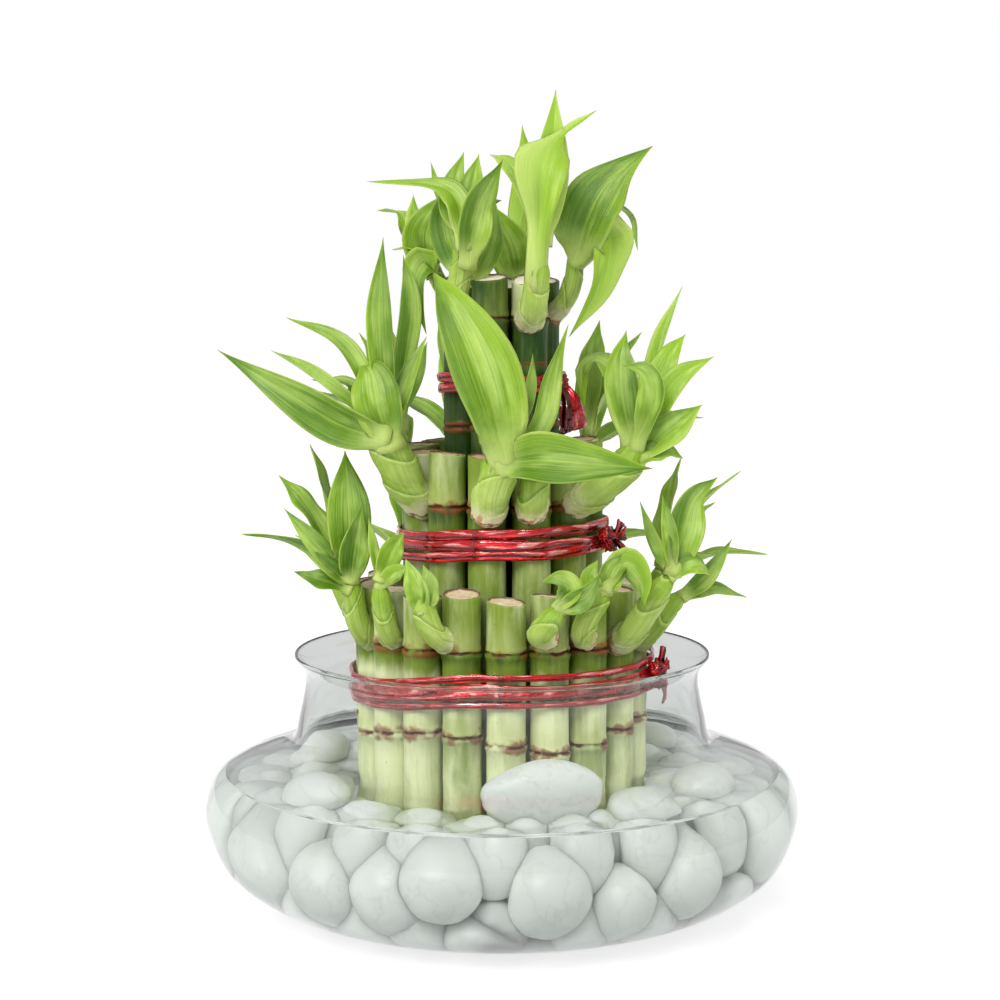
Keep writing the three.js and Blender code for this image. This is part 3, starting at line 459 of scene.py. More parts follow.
        "stem": [[3, 2.2], [[-12.6, 66.4, -31], [-16.8, 68.2, -35.5], [-19.6, 74, -37.5], [-21.2, 79, -37]]],
        "leaves": [
            [6.4, [-0.2, -1, 0], [-19.8, 74.5, -37.5], [-21.8, 81, -38.5], [-24.4, 88, -36.5]],
            [4.6, [0.4, -1, 0], [-19.6, 74.5, -38], [-18.4, 81, -39], [-20, 86.6, -37.5]],
        ],
    },
}
# Shoots on the far side follow one rule: a stem given by its reach from the cane and its rise above
# the node, and leaves that give their turn from the shoot's direction, climb, length and width.
RULED_SHOOTS = ("mid_5", "mid_7", "mid_8", "low_6", "low_8", "low_11", "low_13")
RULED_PATH = ((2.5, 0), (9, 3), (12.5, 10), (14, 17))
RULED_RADII = (2.9, 2.1)
RULED_ARCH = 0.06
RULED_DROOP = 0.1
RULED_SPREAD = {"lean": 6, "turn": 5, "climb": 6, "length": 0.12}
RULED_LEAVES = ((-50, 26, 31, 8), (44, 34, 33, 8.5), (-16, 58, 35, 8.5), (14, 76, 36, 8))


# Small mathematics
def draw(item, use):
    """A repeatable number from 0 to 1 for an item and a use."""
    wave = math.sin(item * 12.9898 + use * 78.233) * 43758.5453
    return wave - math.floor(wave)


def spread(item, use, half):
    """The same, from -half to half."""
    return (2 * draw(item, use) - 1) * half


def blend(first, second, share):
    return first + (second - first) * share


def ease(value, low, high):
    """0 below low, 1 above high, and smooth between them."""
    share = min(max((value - low) / (high - low), 0), 1)
    return share * share * (3 - 2 * share)


def bump_at(value, middle, width):
    return math.exp(-(((value - middle) / width) ** 2))


def wobble(place, scale, seed):
    """Smooth noise from -1 to 1 at a place in millimetres."""
    return noise.noise(Vector(place) * scale + Vector((seed * 7.3, seed * 3.1, seed * 5.7)))


def outward(angle):
    """The level way out from the axis at an angle from the front."""
    turn = math.radians(angle)
    return Vector((math.sin(turn), -math.cos(turn), 0))


def seen(point):
    """Turns a point given as it looks from the front into a point in space."""
    across, up, depth = point
    nearer = (EYE_DISTANCE + depth) / EYE_DISTANCE
    return Vector((across * nearer, depth, EYE_HEIGHT + (up - EYE_HEIGHT) * nearer))


def curve_point(points, share):
    """A point on the smooth curve through the points."""
    spans = len(points) - 1
    span = min(int(share * spans), spans - 1)
    part = share * spans - span
    near, far = points[span], points[span + 1]
    before = points[span - 1] if span else 2 * near - far
    after = points[span + 2] if span + 2 <= spans else 2 * far - near
    leave, arrive = (far - before) / 2, (after - near) / 2
    bend = 3 * (far - near) - 2 * leave - arrive
    twist = 2 * (near - far) + leave + arrive
    return near + leave * part + bend * part**2 + twist * part**3


def curve_length(points):
    places = [curve_point(points, i / LENGTH_STEPS) for i in range(LENGTH_STEPS + 1)]
    return sum((b - a).length for a, b in zip(places, places[1:]))


def curve_frame(points, share, face):
    """The curve's point with the ways along it, to its side and out of its face."""
    low, high = max(share - FRAME_STEP, 0), min(share + FRAME_STEP, 1)
    along = (curve_point(points, high) - curve_point(points, low)).normalized()
    side = along.cross(face).normalized()
    return curve_point(points, share), along, side, side.cross(along).normalized()


# Making one mesh
VALUES = ("along", "across", "fibre", "tone")


class Shape:
    """Points in millimetres with their values, and faces with their finishes, for one mesh."""

    def __init__(self):
        self.points = []
        self.values = []
        self.faces = []
        self.finishes = []

    def add_point(self, place, values):
        self.points.append(Vector(place))
        self.values.append(values)
        return len(self.points) - 1

    def add_face(self, corners, finish):
        self.faces.append(corners)
        self.finishes.append(finish)

    def add_rows(self, rows, values, finish=0):
        """Joins closed rows of points to each other; values(row, column) gives a point's values."""
        first = len(self.points)
        width = len(rows[0])
        for i, row in enumerate(rows):
            for k, place in enumerate(row):
                self.add_point(place, values(i, k))
        for i in range(len(rows) - 1):
            self.bridge(first + i * width, first + (i + 1) * width, width, finish)
        return first

    def bridge(self, lower, upper, width, finish):
        for k in range(width):
            after = (k + 1) % width
            self.add_face((lower + k, lower + after, upper + after, upper + k), finish)

    def close(self, first, width, place, values, finish=0):
        """Closes a row of points towards one more point."""
        tip = self.add_point(place, values)
        for k in range(width):
            self.add_face((first + k, first + (k + 1) % width, tip), finish)

    def close_both(self, first, rows, ends, values, finish=0):
        """Closes the first and the last of the rows towards their own end points."""
        width = len(rows[0])
        last = first + (len(rows) - 1) * width
        self.close(first, width, ends[0], values(0, 0), finish)
        self.close(last, width, ends[1], values(len(rows) - 1, 0), finish)


def add_ball(shape, fineness, placed):
    """A closed ball; placed(point of the ball) gives each point's place and values."""
    form = bmesh.new()
    bmesh.ops.create_icosphere(form, subdivisions=fineness, radius=1)
    form.verts.ensure_lookup_table()
    first = len(shape.points)
    for vert in form.verts:
        shape.add_point(*placed(vert.co))
    for face in form.faces:
        shape.add_face(tuple(first + vert.index for vert in face.verts), 0)
    form.free()


def new_object(name, data):
    made = bpy.data.objects.new(name, data)
    bpy.context.scene.collection.objects.link(made)
    return made


def add_piece(name, shape, finishes, nodes):
    """Makes the shape an object that stands for its nodes and rides on the body."""
    mesh = bpy.data.meshes.new(name)
    mesh.from_pydata([point * MM for point in shape.points], [], shape.faces)
    for finish in finishes:
        mesh.materials.append(finish)
    mesh.polygons.foreach_set("material_index", shape.finishes)
    for index, label in enumerate(VALUES):
        layer = mesh.attributes.new(label, "FLOAT", "POINT")
        layer.data.foreach_set("value", [row[index] for row in shape.values])
    form = bmesh.new()
    form.from_mesh(mesh)
    bmesh.ops.recalc_face_normals(form, faces=form.faces)
    for face in form.faces:
        face.smooth = True
    for edge in form.edges:
        edge.smooth = len({face.material_index for face in edge.link_faces}) == 1
    form.to_mesh(mesh)
    form.free()
    piece = new_object(name, mesh)
    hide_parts(*nodes)
    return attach(piece, BODY)


# Bowl and water
def smooth_profile():
    points = [Vector((radius, height)) for radius, height in BOWL_PROFILE]
    steps = (len(points) - 1) * PROFILE_STEPS
    return [curve_point(points, i / steps) for i in range(steps + 1)]


def inside_profile(offset):
    """The bowl's inner wall, from the edge of its floor to the rim."""
    outline = smooth_profile()
    floor = BOWL_FLOOR - SOLID_WALL + offset
    inner = []
    for i, point in enumerate(outline):
        before, after = outline[max(i - 1, 0)], outline[min(i + 1, len(outline) - 1)]
        way = (after - before).normalized()
        thinned = offset - RIM_THINNING * ease(point.y, *THINNING_HEIGHTS)
        moved = point + Vector((-way.y, way.x)) * thinned
        if moved.y > floor + 0.05 and moved.x > FLOOR_RADIUS + 2:
            inner.append(moved)
    return [Vector((FLOOR_RADIUS, floor)), *inner]


def radius_at(profile, height):
    """How far out the profile reaches at a height."""
    for low, high in zip(profile, profile[1:]):
        if low.y <= height <= high.y and high.y > low.y:
            return blend(low.x, high.x, (height - low.y) / (high.y - low.y))
    return profile[0].x if height < profile[0].y else profile[-1].x


def turn_profile(shape, profile, sides):
    """Turns a profile about the axis and closes it at both ends on the axis."""
    rows = []
    for radius, height in profile:
        rows.append([outward(360 * k / sides) * radius + Vector((0, 0, height)) for k in range(sides)])

    def values(row, column):
        return row / len(rows), column / sides, profile[row][1], 0.5

    first = shape.add_rows(rows, values)
    ends = Vector((0, 0, profile[0][1])), Vector((0, 0, profile[-1][1]))
    shape.close_both(first, rows, ends, values)


def rim_profile(wall):
    """The rounded lip, from its outer side to its inner side."""
    radius, height = BOWL_PROFILE[-1]
    turns = [math.pi * i / LIP_STEPS for i in range(1, LIP_STEPS)]
    half = (wall - RIM_THINNING) / 2
    middle = radius - half
    return [Vector((middle + half * math.cos(a), height + RIM_RISE * math.sin(a))) for a in turns]


def bowl_shape(wall, sides):
    shape = Shape()
    outer = [Vector((CORE_RADIUS, 0)), Vector((UNDERSIDE_RADIUS, 0)), *smooth_profile()]
    inner = [*reversed(inside_profile(wall)), Vector((CORE_RADIUS, BOWL_FLOOR))]
    turn_profile(shape, [*outer, *rim_profile(wall), *inner], sides)
    return shape


def water_shape(wall, level, sides):
    """The whole body of water, which overlaps the glass by a hair and climbs its wall a little."""
    shape = Shape()
    wall_line = inside_profile(wall - WATER_OVERLAP)
    top = level + MENISCUS
    wetted = [point for point in wall_line if point.y < top]
    edge = radius_at(wall_line, top)
    surface = []
    for inward, share in MENISCUS_STEPS:
        surface.append(Vector((edge - inward, level + MENISCUS * share)))
    turn_profile(shape, [Vector((CORE_RADIUS, wall_line[0].y)), *wetted, *surface], sides)
    return shape


# Canes
def node_profile(distance):
    """How far a cane stands proud at a distance above or below a node."""
    return sum(height * bump_at(distance, middle, width) for height, middle, width in NODE_FORM)


def cane_levels(nodes, cut):
    """The heights of a cane's rows of points, close together at its nodes and its cut."""
    levels = {CANE_FOOT, cut - 0.5, cut - 0.15, cut}
    for node in nodes:
        levels.update(node + step for step in NODE_LEVELS)
    steps = int((cut - CANE_FOOT) / LEVEL_STEP)
    for i in range(1, steps):
        height = CANE_FOOT + i * LEVEL_STEP
        if all(abs(height - node) > NODE_REACH for node in nodes) and height < cut - CUT_REACH:
            levels.add(height)
    return sorted(levels)


def skin_tone(tones, node, height):
    """How green a cane is at a height, from its upper node's tones."""
    if height > node:
        return tones["above"]
    return blend(tones["under"], tones["below"], ease(node - height, 1, UNDER_FADE))


def rod_point(centre, way, height, sizes, slope, seed):
    """A point on a cane's skin, and its distance above the nearest node."""
    nearest = min(sizes["nodes"], key=lambda node: abs(height - node))
    ragged = NODE_RAGGED * wobble(way * 4 + Vector((0, 0, nearest)), 0.5, seed)
    distance = height - nearest + ragged
    lump = SKIN_LUMP * wobble(way * 4 + Vector((0, 0, height * 0.2)), 0.35, seed)
    at_cut = height == sizes["cut"]
    bevel = -CUT_BEVEL if at_cut else 0
    point = centre + way * (sizes["radius"] + node_profile(distance) + lump + bevel)
    lift = slope.dot(point - centre) if height > sizes["cut"] - CUT_REACH else 0
    rough = CUT_RAGGED * wobble(way * 9, 0.6, seed + 3) if at_cut else 0
    return point + Vector((0, 0, height + lift + rough)), distance


def add_rod(shape, centre, sizes, seed, tones):
    """A cane with its ringed nodes, cut across its top a little out of square."""
    slope = Vector((spread(seed, 3, CUT_SLOPE), sizes["tilt"] + spread(seed, 4, CUT_SLOPE), 0))
    levels = cane_levels(sizes["nodes"], sizes["cut"])
    ways = [outward(360 * k / CANE_SIDES) for k in range(CANE_SIDES)]
    rows, distances = [], []
    for height in levels:
        made = [rod_point(centre, way, height, sizes, slope, seed) for way in ways]
        rows.append([point for point, _ in made])
        distances.append([distance for _, distance in made])

    own = spread(seed, 7, TONE_SPREAD)
    greens = [skin_tone(tones, sizes["nodes"][-1], height) + own for height in levels]

    def values(row, column):
        return distances[row][column], 1, levels[row], greens[row]

    first = shape.add_rows(rows, values, SKIN)
    shape.close(first, CANE_SIDES, centre + Vector((0, 0, CANE_FOOT)), (-9, 0, CANE_FOOT, greens[0]), SKIN)
    add_cut(shape, first + (len(rows) - 1) * CANE_SIDES, centre, sizes, slope, seed, tones["dry"] + own)


def add_cut(shape, rim, centre, sizes, slope, seed, tone):
    """The cut face of a cane: a rim and a slightly sunken, fibrous middle."""
    radius, cut = sizes["radius"], sizes["cut"]
    outer = rim
    for share, sunk in CUT_RINGS:
        inner = len(shape.points)
        for k in range(CANE_SIDES):
            way = outward(360 * k / CANE_SIDES) * radius * share
            rough = CUT_GRAIN * wobble(way, 0.9, seed + 5)
            height = cut + slope.dot(way) + sunk + rough
            shape.add_point(centre + way + Vector((0, 0, height)), (0, share, height, tone))
        shape.bridge(outer, inner, CANE_SIDES, CUT)
        outer = inner
    middle = centre + Vector((0, 0, cut + CUT_RINGS[-1][1]))
    shape.close(outer, CANE_SIDES, middle, (0, 0, cut, tone), CUT)


# Shoots
def blade_share(share, neck, trumpet):
    """Half width along a leaf as a share of its widest."""
    if trumpet:
        opened = blend(0.4, 1, ease(share, 0.2, 0.5))
        return opened * (1 - 0.86 * ease(share, 0.5, 0.8)) * (1 - ease(share, 0.86, 1))
    swell = math.sin(math.pi * share**0.74) ** (0.8 + 0.45 * share) if 0 < share < 1 else 0
    return max(swell, neck * (1 - share * 1.4))


def leaf_loop():
    """The places round a leaf's section: how far across, from -1 to 1, and 1 above or -1 below."""
    places = [-s for s in reversed(HALF_BLADE[1:])] + list(HALF_BLADE)
    return [(s, 1) for s in places] + [(s, -1) for s in reversed(places[1:-1])]


def leaf_nature(seed, width, grip, trumpet):
    """A leaf's form, and what makes it differ from the next one."""
    neck_share = min(grip / (width / 2), NECK_LIMIT)
    return {
        "half": width / 2,
        "trumpet": trumpet,
        "neck_share": neck_share,
        "neck": width / 2 * blade_share(0, neck_share, trumpet),
        "opening": TRUMPET_OPENING if trumpet else BLADE_OPENING,
        "phase": draw(seed, 41) * 6.3,
        "curl": blend(-0.05, 0.2, draw(seed, 42)),
        "roll": spread(seed, 43, 0.4),
        "waves": blend(1.4, 2.6, draw(seed, 44)),
        "uneven": spread(seed, 46, 0.4),
        # painted shade: one half of each blade's fold is coloured deeper than the other, as if it faced away
        # from the light
        "shading": spread(seed, 197, 0.6),
    }


def leaf_rise(s, share, gutter, wrap, own):
    """How far a place across a leaf stands over its rib, as a share of the half width."""
    reach = abs(s)
    shift = 1.9 if s > 0 else 0
    ripple = RIPPLE * math.sin(own["waves"] * 6.28 * share + own["phase"] + shift) * ease(share, 0.1, 0.35)
    rise = gutter * reach**1.08 * (1 + own["uneven"] * s) - own["curl"] * reach**4 + ripple * reach**2
    return rise - wrap * (1 - math.sqrt(1 - 0.96 * reach**2))


def leaf_row(own, loop, spine, share, face):
    """The points of one section across a leaf."""
    centre, along, side, normal = curve_frame(spine, share, face)
    turn = Matrix.Rotation(own["roll"] * ease(share, 0.25, 1), 3, along)
    side, normal = turn @ side, turn @ normal
    half = own["half"] * blade_share(share, own["neck_share"], own["trumpet"])
    wrap = 1 - ease(share, 0.02, own["opening"])
    folded = 1 - ease(share, own["opening"], own["opening"] + 0.35)
    gutter = (BLADE_FOLD + NECK_FOLD * folded) * (1 - wrap)
    thick = blend(*BLADE_THICK, share) / 2
    row = []
    for s, upper in loop:
        depth = blend(thick, EDGE_THICK / 2, abs(s) ** 0.7)
        lift = own["neck"] * wrap + leaf_rise(s, share, gutter, wrap, own) * half + upper * depth
        row.append(centre + side * (s * half * (1 - 0.1 * gutter)) + normal * lift)
    return row


def add_leaf(shape, width, face, spine, grip, seed, tone, trumpet=False):
    """A pointed blade, folded along its rib, that wraps the stem at its foot; its edges ripple and curl."""
    own = leaf_nature(seed, width, grip, trumpet)
    loop = leaf_loop()
    shares = [i / BLADE_STEPS for i in range(BLADE_STEPS)]
    rows = [leaf_row(own, loop, spine, share, face) for share in shares]

    def values(row, column):
        s, upper = loop[column]
        under = 0 if upper > 0 else UNDER_TONE
        # the tone carries the painted shade between the two halves of the fold, and the underside's paler
        # green
        return shares[row], s, s * width / 2, tone + own["shading"] * s + under

    first = shape.add_rows(rows, values, LEAF)
    last = first + (len(rows) - 1) * len(loop)
    shape.close(first, len(loop), curve_point(spine, 0), (0, 0, 0, tone), LEAF)
    shape.close(last, len(loop), curve_point(spine, 1), (1, 0, 0, tone), LEAF)


def stem_row(spine, radii, place, collars, seed):
    """The points round one section of a stem, with its ribs, its lumps and the edges of its sheaths."""
    share, behind, narrow = place
    centre, along, side, normal = curve_frame(spine, max(share, 0), Vector(STEM_FACE))
    centre = centre - along * behind * radii[0] * 0.8
    row = []
    for k in range(STEM_SIDES):
        turn = 2 * math.pi * k / STEM_SIDES
        phase = (share * collars + SHEATH_SLANT * math.cos(turn + seed)) % 1
        step = SHEATH_STEP * ease(phase, 0, 0.9) * ease(share, 0.02, 0.25)
        ribs = STEM_RIB_DEPTH * math.cos(STEM_RIBS * turn + seed * 1.7 + share * 2)
        lump = STEM_LUMP * wobble(centre, 0.3, seed + k * 0.2) + STEM_LUMP * bump_at(share, 0.06, 0.14)
        radius = blend(*radii, max(share, 0)) * (1 + step + ribs + lump)
        row.append(centre + (side * math.cos(turn) + normal * math.sin(turn)) * radius * narrow)
    return row


def add_stem(shape, radii, spine, seed, tone):
    """A tapering stem in overlapping sheaths, from the rounded bulb where it leaves the cane."""
    collars = max(round(curve_length(spine) / COLLAR_LENGTH), 1)
    places = [(-0.1 * math.sin(angle), math.sin(angle), math.cos(angle)) for angle in BULB_TURNS]
    for i in range(STEM_STEPS + 1):
        share = i / STEM_STEPS
        places.append((share, 0, 1 - STEM_CLOSE * ease(share, 0.72, 1)))
    rows = [stem_row(spine, radii, place, collars, seed) for place in places]

    def values(row, column):
        share = places[row][0]
        slant = SHEATH_SLANT * math.cos(2 * math.pi * column / STEM_SIDES + seed)
        around = abs(2 * column / STEM_SIDES - 1) * 3.14 * radii[0]
        return share, share * collars + slant, around, tone

    first = shape.add_rows(rows, values, SHEATH)
    face = Vector(STEM_FACE)
    foot, crown = curve_frame(spine, 0, face), curve_frame(spine, 1, face)
    ends = foot[0] - foot[1] * radii[0] * 0.85, crown[0] + crown[1] * radii[1] * 0.3
    shape.close_both(first, rows, ends, values, SHEATH)


def add_drawn_shoot(shape, shoot, seed, tone, leaf_tones, trumpet):
    """A shoot that the photograph shows."""
    radii, path = shoot["stem"]
    add_stem(shape, radii, [seen(point) for point in path], seed, tone)
    for k, (width, face, *points) in enumerate(shoot["leaves"]):
        ruled = min(max(tone + spread(seed + k, 45, 0.4), min(tone, 0)), 1)
        leaf_tone = leaf_tones[k] if leaf_tones else ruled
        spine = [seen(point) for point in points]
        facing = Vector(face).normalized()
        add_leaf(shape, width, facing, spine, radii[1] * GRIP, seed * 3 + k, leaf_tone, trumpet and k == 0)


def add_ruled_shoot(shape, tier, index, seed, tone):
    """A shoot on the far side, which follows the rule."""
    angle = tier["first"] + index * 360 / tier["count"]
    lean = angle + spread(seed, 1, RULED_SPREAD["lean"])
    foot = outward(angle) * tier["ring"]
    path = [foot + outward(lean) * reach + Vector((0, 0, tier["node"] + rise)) for reach, rise in RULED_PATH]
    add_stem(shape, RULED_RADII, path, seed, tone)
    for k, (turn, climb, length, width) in enumerate(RULED_LEAVES):
        way = outward(lean + turn * 0.8 + spread(seed, 10 + k, RULED_SPREAD["turn"]))
        tilt = math.radians(climb + spread(seed, 20 + k, RULED_SPREAD["climb"]))
        reach = length * (1 + spread(seed, 30 + k, RULED_SPREAD["length"]))
        root = curve_point(path, 0.66 + 0.07 * k)
        up = Vector((0, 0, 1))
        middle = root + way * 0.5 * reach * math.cos(tilt) + up * reach * (0.5 * math.sin(tilt) + RULED_ARCH)
        tip = root + way * reach * math.cos(tilt) + up * reach * (math.sin(tilt) - RULED_DROOP)
        face = way * -math.sin(tilt) + up * math.cos(tilt)
        leaf_tone = blend(tone, draw(seed, 50 + k), 0.5)
        add_leaf(shape, width, face, [root, middle, tip], RULED_RADII[1], seed * 3 + k, leaf_tone)


def cane_shape(tier_name, index):
    tier = TIERS[tier_name]
    seed = index + tier["ring"]
    lower = [tier["lower"] + spread(seed, 6, LOWER_NODE_SPREAD)] if tier["lower"] else []
    sizes = {
        "radius": tier["radius"] + spread(seed, 2, RADIUS_SPREAD),
        "cut": tier["cut"] + spread(seed, 5, CUT_SPREAD),
        "nodes": [*lower, tier["node"]],
        "tilt": tier["tilt"],
    }
    shape = Shape()
    centre = outward(tier["first"] + index * 360 / tier["count"]) * tier["ring"]
    key = f"{tier_name}_{index}"
    add_rod(shape, centre, sizes, seed, {**TIER_TONES[tier_name], **CANE_TONES.get(key, {})})
    if key in SHOOTS:
        tone = SHOOT_TONES.get(key, draw(seed, 8) * 0.6)
        add_drawn_shoot(shape, SHOOTS[key], seed, tone, LEAF_TONES.get(key), key in TRUMPETS)
    elif key in RULED_SHOOTS:
        add_ruled_shoot(shape, tier, index, seed, draw(seed, 8) * 0.6)
    return shape


# Foil ribbon
def band_line(tier, offset):
    """The closed line of a ribbon round the outsides of a tier's canes, in even short steps."""
    step = 360 / tier["count"]
    corners = []
    for i in range(tier["count"]):
        middle = outward(tier["first"] + i * step) * tier["ring"]
        for turn in BAND_ARC:
            corners.append(middle + outward(tier["first"] + (i + turn) * step) * offset)
    corners.append(corners[0])
    lengths = [(b - a).length for a, b in zip(corners, corners[1:])]
    count = round(sum(lengths) / FOIL_STEP)
    line, travelled, span = [], 0, 0
    for i in range(count):
        target = sum(lengths) * i / count
        while travelled + lengths[span] < target:
            travelled += lengths[span]
            span += 1
        line.append(corners[span].lerp(corners[span + 1], (target - travelled) / lengths[span]))
    return line


def add_strand(shape, tier, height, half, offset, sag, seed):
    """One turn of crumpled foil round a tier."""
    line = band_line(tier, offset)
    rows = []
    for i, point in enumerate(line):
        way = point.normalized()
        angle = 2 * math.pi * i / len(line)
        drift = 0.7 * math.sin(angle + seed) + 0.3 * math.sin(3 * angle + seed * 2.1)
        twist = STRAND["twist"] * wobble(point, 0.05, seed)
        narrow = 1 + STRAND["uneven"] * wobble(point, 0.08, seed + 4)
        low = sag * ease(-way.x, 0.1, 1)
        row = []
        for k in range(FOIL_ROUND):
            turn = 2 * math.pi * k / FOIL_ROUND + twist
            crumple = STRAND["crumple"] * wobble(point * 0.4 + Vector((0, 0, 2.2 * k)), 0.4, seed + 8)
            out = STRAND["thick"] * math.cos(turn) + crumple
            up = half * narrow * math.sin(turn) + 0.3 * crumple
            row.append(point + way * out + Vector((0, 0, height + drift * STRAND["drift"] + up - low)))
        rows.append(row)

    def values(row, column):
        return row * FOIL_STEP, column / FOIL_ROUND, column * 1.1, draw(seed, 2)

    first = shape.add_rows(rows, values)
    shape.bridge(first + (len(rows) - 1) * FOIL_ROUND, first, FOIL_ROUND, 0)


def add_knot(shape, centre, size, seed):
    """A tight crumpled lump of foil."""

    def placed(way):
        ridge = abs(wobble(way * 10, 0.22, seed)) * 0.75 - abs(wobble(way * 10, 0.5, seed + 2)) * 0.3
        place = centre + Vector(way[k] * size[k] for k in range(3)) * (0.72 + ridge)
        return place, (way.z * 4, way.x, way.y * 4, draw(seed, 2))

    add_ball(shape, KNOT_FINENESS, placed)


def add_tail(shape, spine, width, face, seed):
    """A loose end that fans out in sharp pleats."""
    loop = [(k, 1) for k in range(TAIL_PLEATS)] + [(k, -1) for k in range(TAIL_PLEATS - 1, -1, -1)]
    rows = []
    for i in range(TAIL_STEPS):
        share = i / (TAIL_STEPS - 1)
        centre, along, side, normal = curve_frame(spine, share, face)
        half = width / 2 * (0.28 + 0.72 * ease(share, 0, 0.9))
        row = []
        for k, upper in loop:
            s = 2 * k / (TAIL_PLEATS - 1) - 1
            pleat = (0.5 if k % 2 else -0.5) * (0.9 - 0.45 * share) + 0.6 * wobble(centre, 0.4, seed + k)
            slant = along * (0.6 * wobble(centre, 0.3, seed + k * 2) * share)
            row.append(centre + side * s * half + normal * (pleat + 0.09 * upper + 0.4 * s * s) + slant)
        rows.append(row)

    def values(row, column):
        return row, column / len(loop), column * 0.8, draw(seed, 2)

    first = shape.add_rows(rows, values)
    shape.close_both(first, rows, (curve_point(spine, 0), curve_point(spine, 1)), values)


def ribbon_shape(band):
    """A whole ribbon: its turns, its knot and its loose ends."""
    tier = TIERS[band["tier"]]
    clear = tier["radius"] + RADIUS_SPREAD + NODE_SWELL + BAND_CLEAR
    shape = Shape()
    half = band["wide"] / band["turns"] / 2
    for turn in range(band["turns"]):
        height = band["height"] - band["wide"] / 2 + half * (2 * turn + 1)
        offset = clear + STRAND["thick"] + 0.25 * (turn % 2)
        seed = turn * 3 + band["height"]
        add_strand(shape, tier, height, half * STRAND["fill"], offset, band["sag"], seed)
    way, across = outward(band["knot"]), outward(band["knot"] + 90)
    centre = way * (tier["ring"] + clear + BAND_THICKNESS + KNOT_RADIUS * 0.6)
    centre.z = band["height"]
    seed = band["height"]
    for k, (aside, up, size) in enumerate(KNOT_LUMPS):
        add_knot(shape, centre + across * aside + Vector((0, 0, up)), size, seed + k)
    for k, (aside, out, drop, width) in enumerate(band["tails"]):
        end = centre + across * aside + way * out * 0.6 + Vector((0, 0, drop))
        middle = centre.lerp(end, 0.5) + way * out * 0.25 + Vector((0, 0, abs(drop) * 0.12))
        add_tail(shape, [centre, middle, end], width, way, seed + 5 + k)
    return shape


# Pebbles
class Stone:
    """An uneven egg lying along the ring it belongs to."""

    def __init__(self, ring, angle, reach, height, half, seed, held=False):
        self.ring = ring
        self.seed = seed
        self.held = held
        self.half = Vector(half)
        self.centre = outward(angle) * reach + Vector((0, 0, height))
        most_turn, most_tilt = HELD_LIE if held else LOOSE_LIE
        turn = math.radians(angle + spread(seed, 60, most_turn))
        tilt = spread(seed, 61, most_tilt)
        self.turn = Matrix.Rotation(turn, 3, "Z") @ Matrix.Rotation(tilt, 3, "Y")

    def reach(self, way):
        """How far it is from its middle to its skin in a direction."""
        local = self.turn.transposed() @ way
        return 1 / math.sqrt(sum((local[k] / self.half[k]) ** 2 for k in range(3)))


def listed_stones(ring, rows, seed):
    return [Stone(ring, *row, seed + i, True) for i, row in enumerate(rows)]


def filler_stones(wall):
    """Pebbles close behind each pair of neighbours against the glass."""
    rows = []
    for left, right in zip(wall, [*wall[1:], wall[0]]):
        angle = left + (right - left) % 360 / 2
        rows += [(angle, FILLERS["reach"], height, FILLERS["half"]) for height in FILLERS["heights"]]
    return listed_stones("pebbles_inner", rows[::2], 240) + listed_stones("pebbles_floor", rows[1::2], 270)


def ring_stones(ring, rule, seed, apart, held=False):
    """Stones in even steps round the bowl, each a little off its place and size."""
    stones = []
    for i in range(rule["count"]):
        own = seed + i
        angle = rule["start"] + i * rule["step"] + spread(own, 62, apart["turn"])
        half = [size * (1 + spread(own, 63 + k, apart["size"])) for k, size in enumerate(rule["half"])]
        reach = rule["reach"] + spread(own, 66, apart["reach"])
        height = rule["height"] + spread(own, 67, apart["height"])
        stones.append(Stone(ring, angle, reach, height, half, own, held))
    return stones


def all_stones():
    stones = listed_stones("pebbles_wall", WALL_STONES, 100)
    stones += ring_stones("pebbles_wall", BACK_STONES, 120, BACK_SPREAD, True)
    stones += filler_stones([math.degrees(math.atan2(s.centre.x, -s.centre.y)) for s in stones])
    stones += listed_stones("pebbles_floor", LOW_STONES, 220)
    stones += listed_stones("pebbles_inner", HIGH_STONES, 230)
    stones += ring_stones("pebbles_floor", FLOOR_STONES, 140, STONE_SPREAD)
    stones += ring_stones("pebbles_floor", FOOT_STONES, 200, STONE_SPREAD)
    stones += ring_stones("pebbles_inner", INNER_STONES, 160, STONE_SPREAD)
    for i, row in enumerate(SURFACE_STONES):
        stones += listed_stones(f"pebble_surface_{i + 1}", [row], 180 + i)
    return stones


def keep_inside(stone, inner):
    """Holds a stone between the bundle of canes and the glass."""
    centre, half = stone.centre, stone.half
    centre.z = min(max(centre.z, BOWL_FLOOR + half.z * 0.9), STONE_TOP - half.z)
    flat = Vector((centre.x, centre.y, 0))
    far = radius_at(inner, min(centre.z, CLOSING_HEIGHT)) - half.y * 0.96
    near = BUNDLE_RADIUS + half.y * 0.9
    wanted = max(min(flat.length, far), near)
    flat *= wanted / flat.length
    stone.centre = Vector((flat.x, flat.y, centre.z))


def settle(stones, inner):
    """Moves stones that cut into each other apart, a little at a time."""
    for _ in range(SETTLE_ROUNDS):
        for i, first in enumerate(stones):
            for second in stones[i + 1 :]:
                gap = second.centre - first.centre
                apart = gap.length
                if apart > SETTLE_REACH or first.held and second.held:
                    continue
                way = gap / apart
                need = (first.reach(way) + second.reach(way)) * SETTLE_SHARE
                if apart < need:
                    push = way * (need - apart) * 0.5
                    first.centre = first.centre - push * (0 if first.held else 1)
                    second.centre = second.centre + push * (0 if second.held else 1)
        for stone in stones:
            if not stone.held:
                keep_inside(stone, inner)


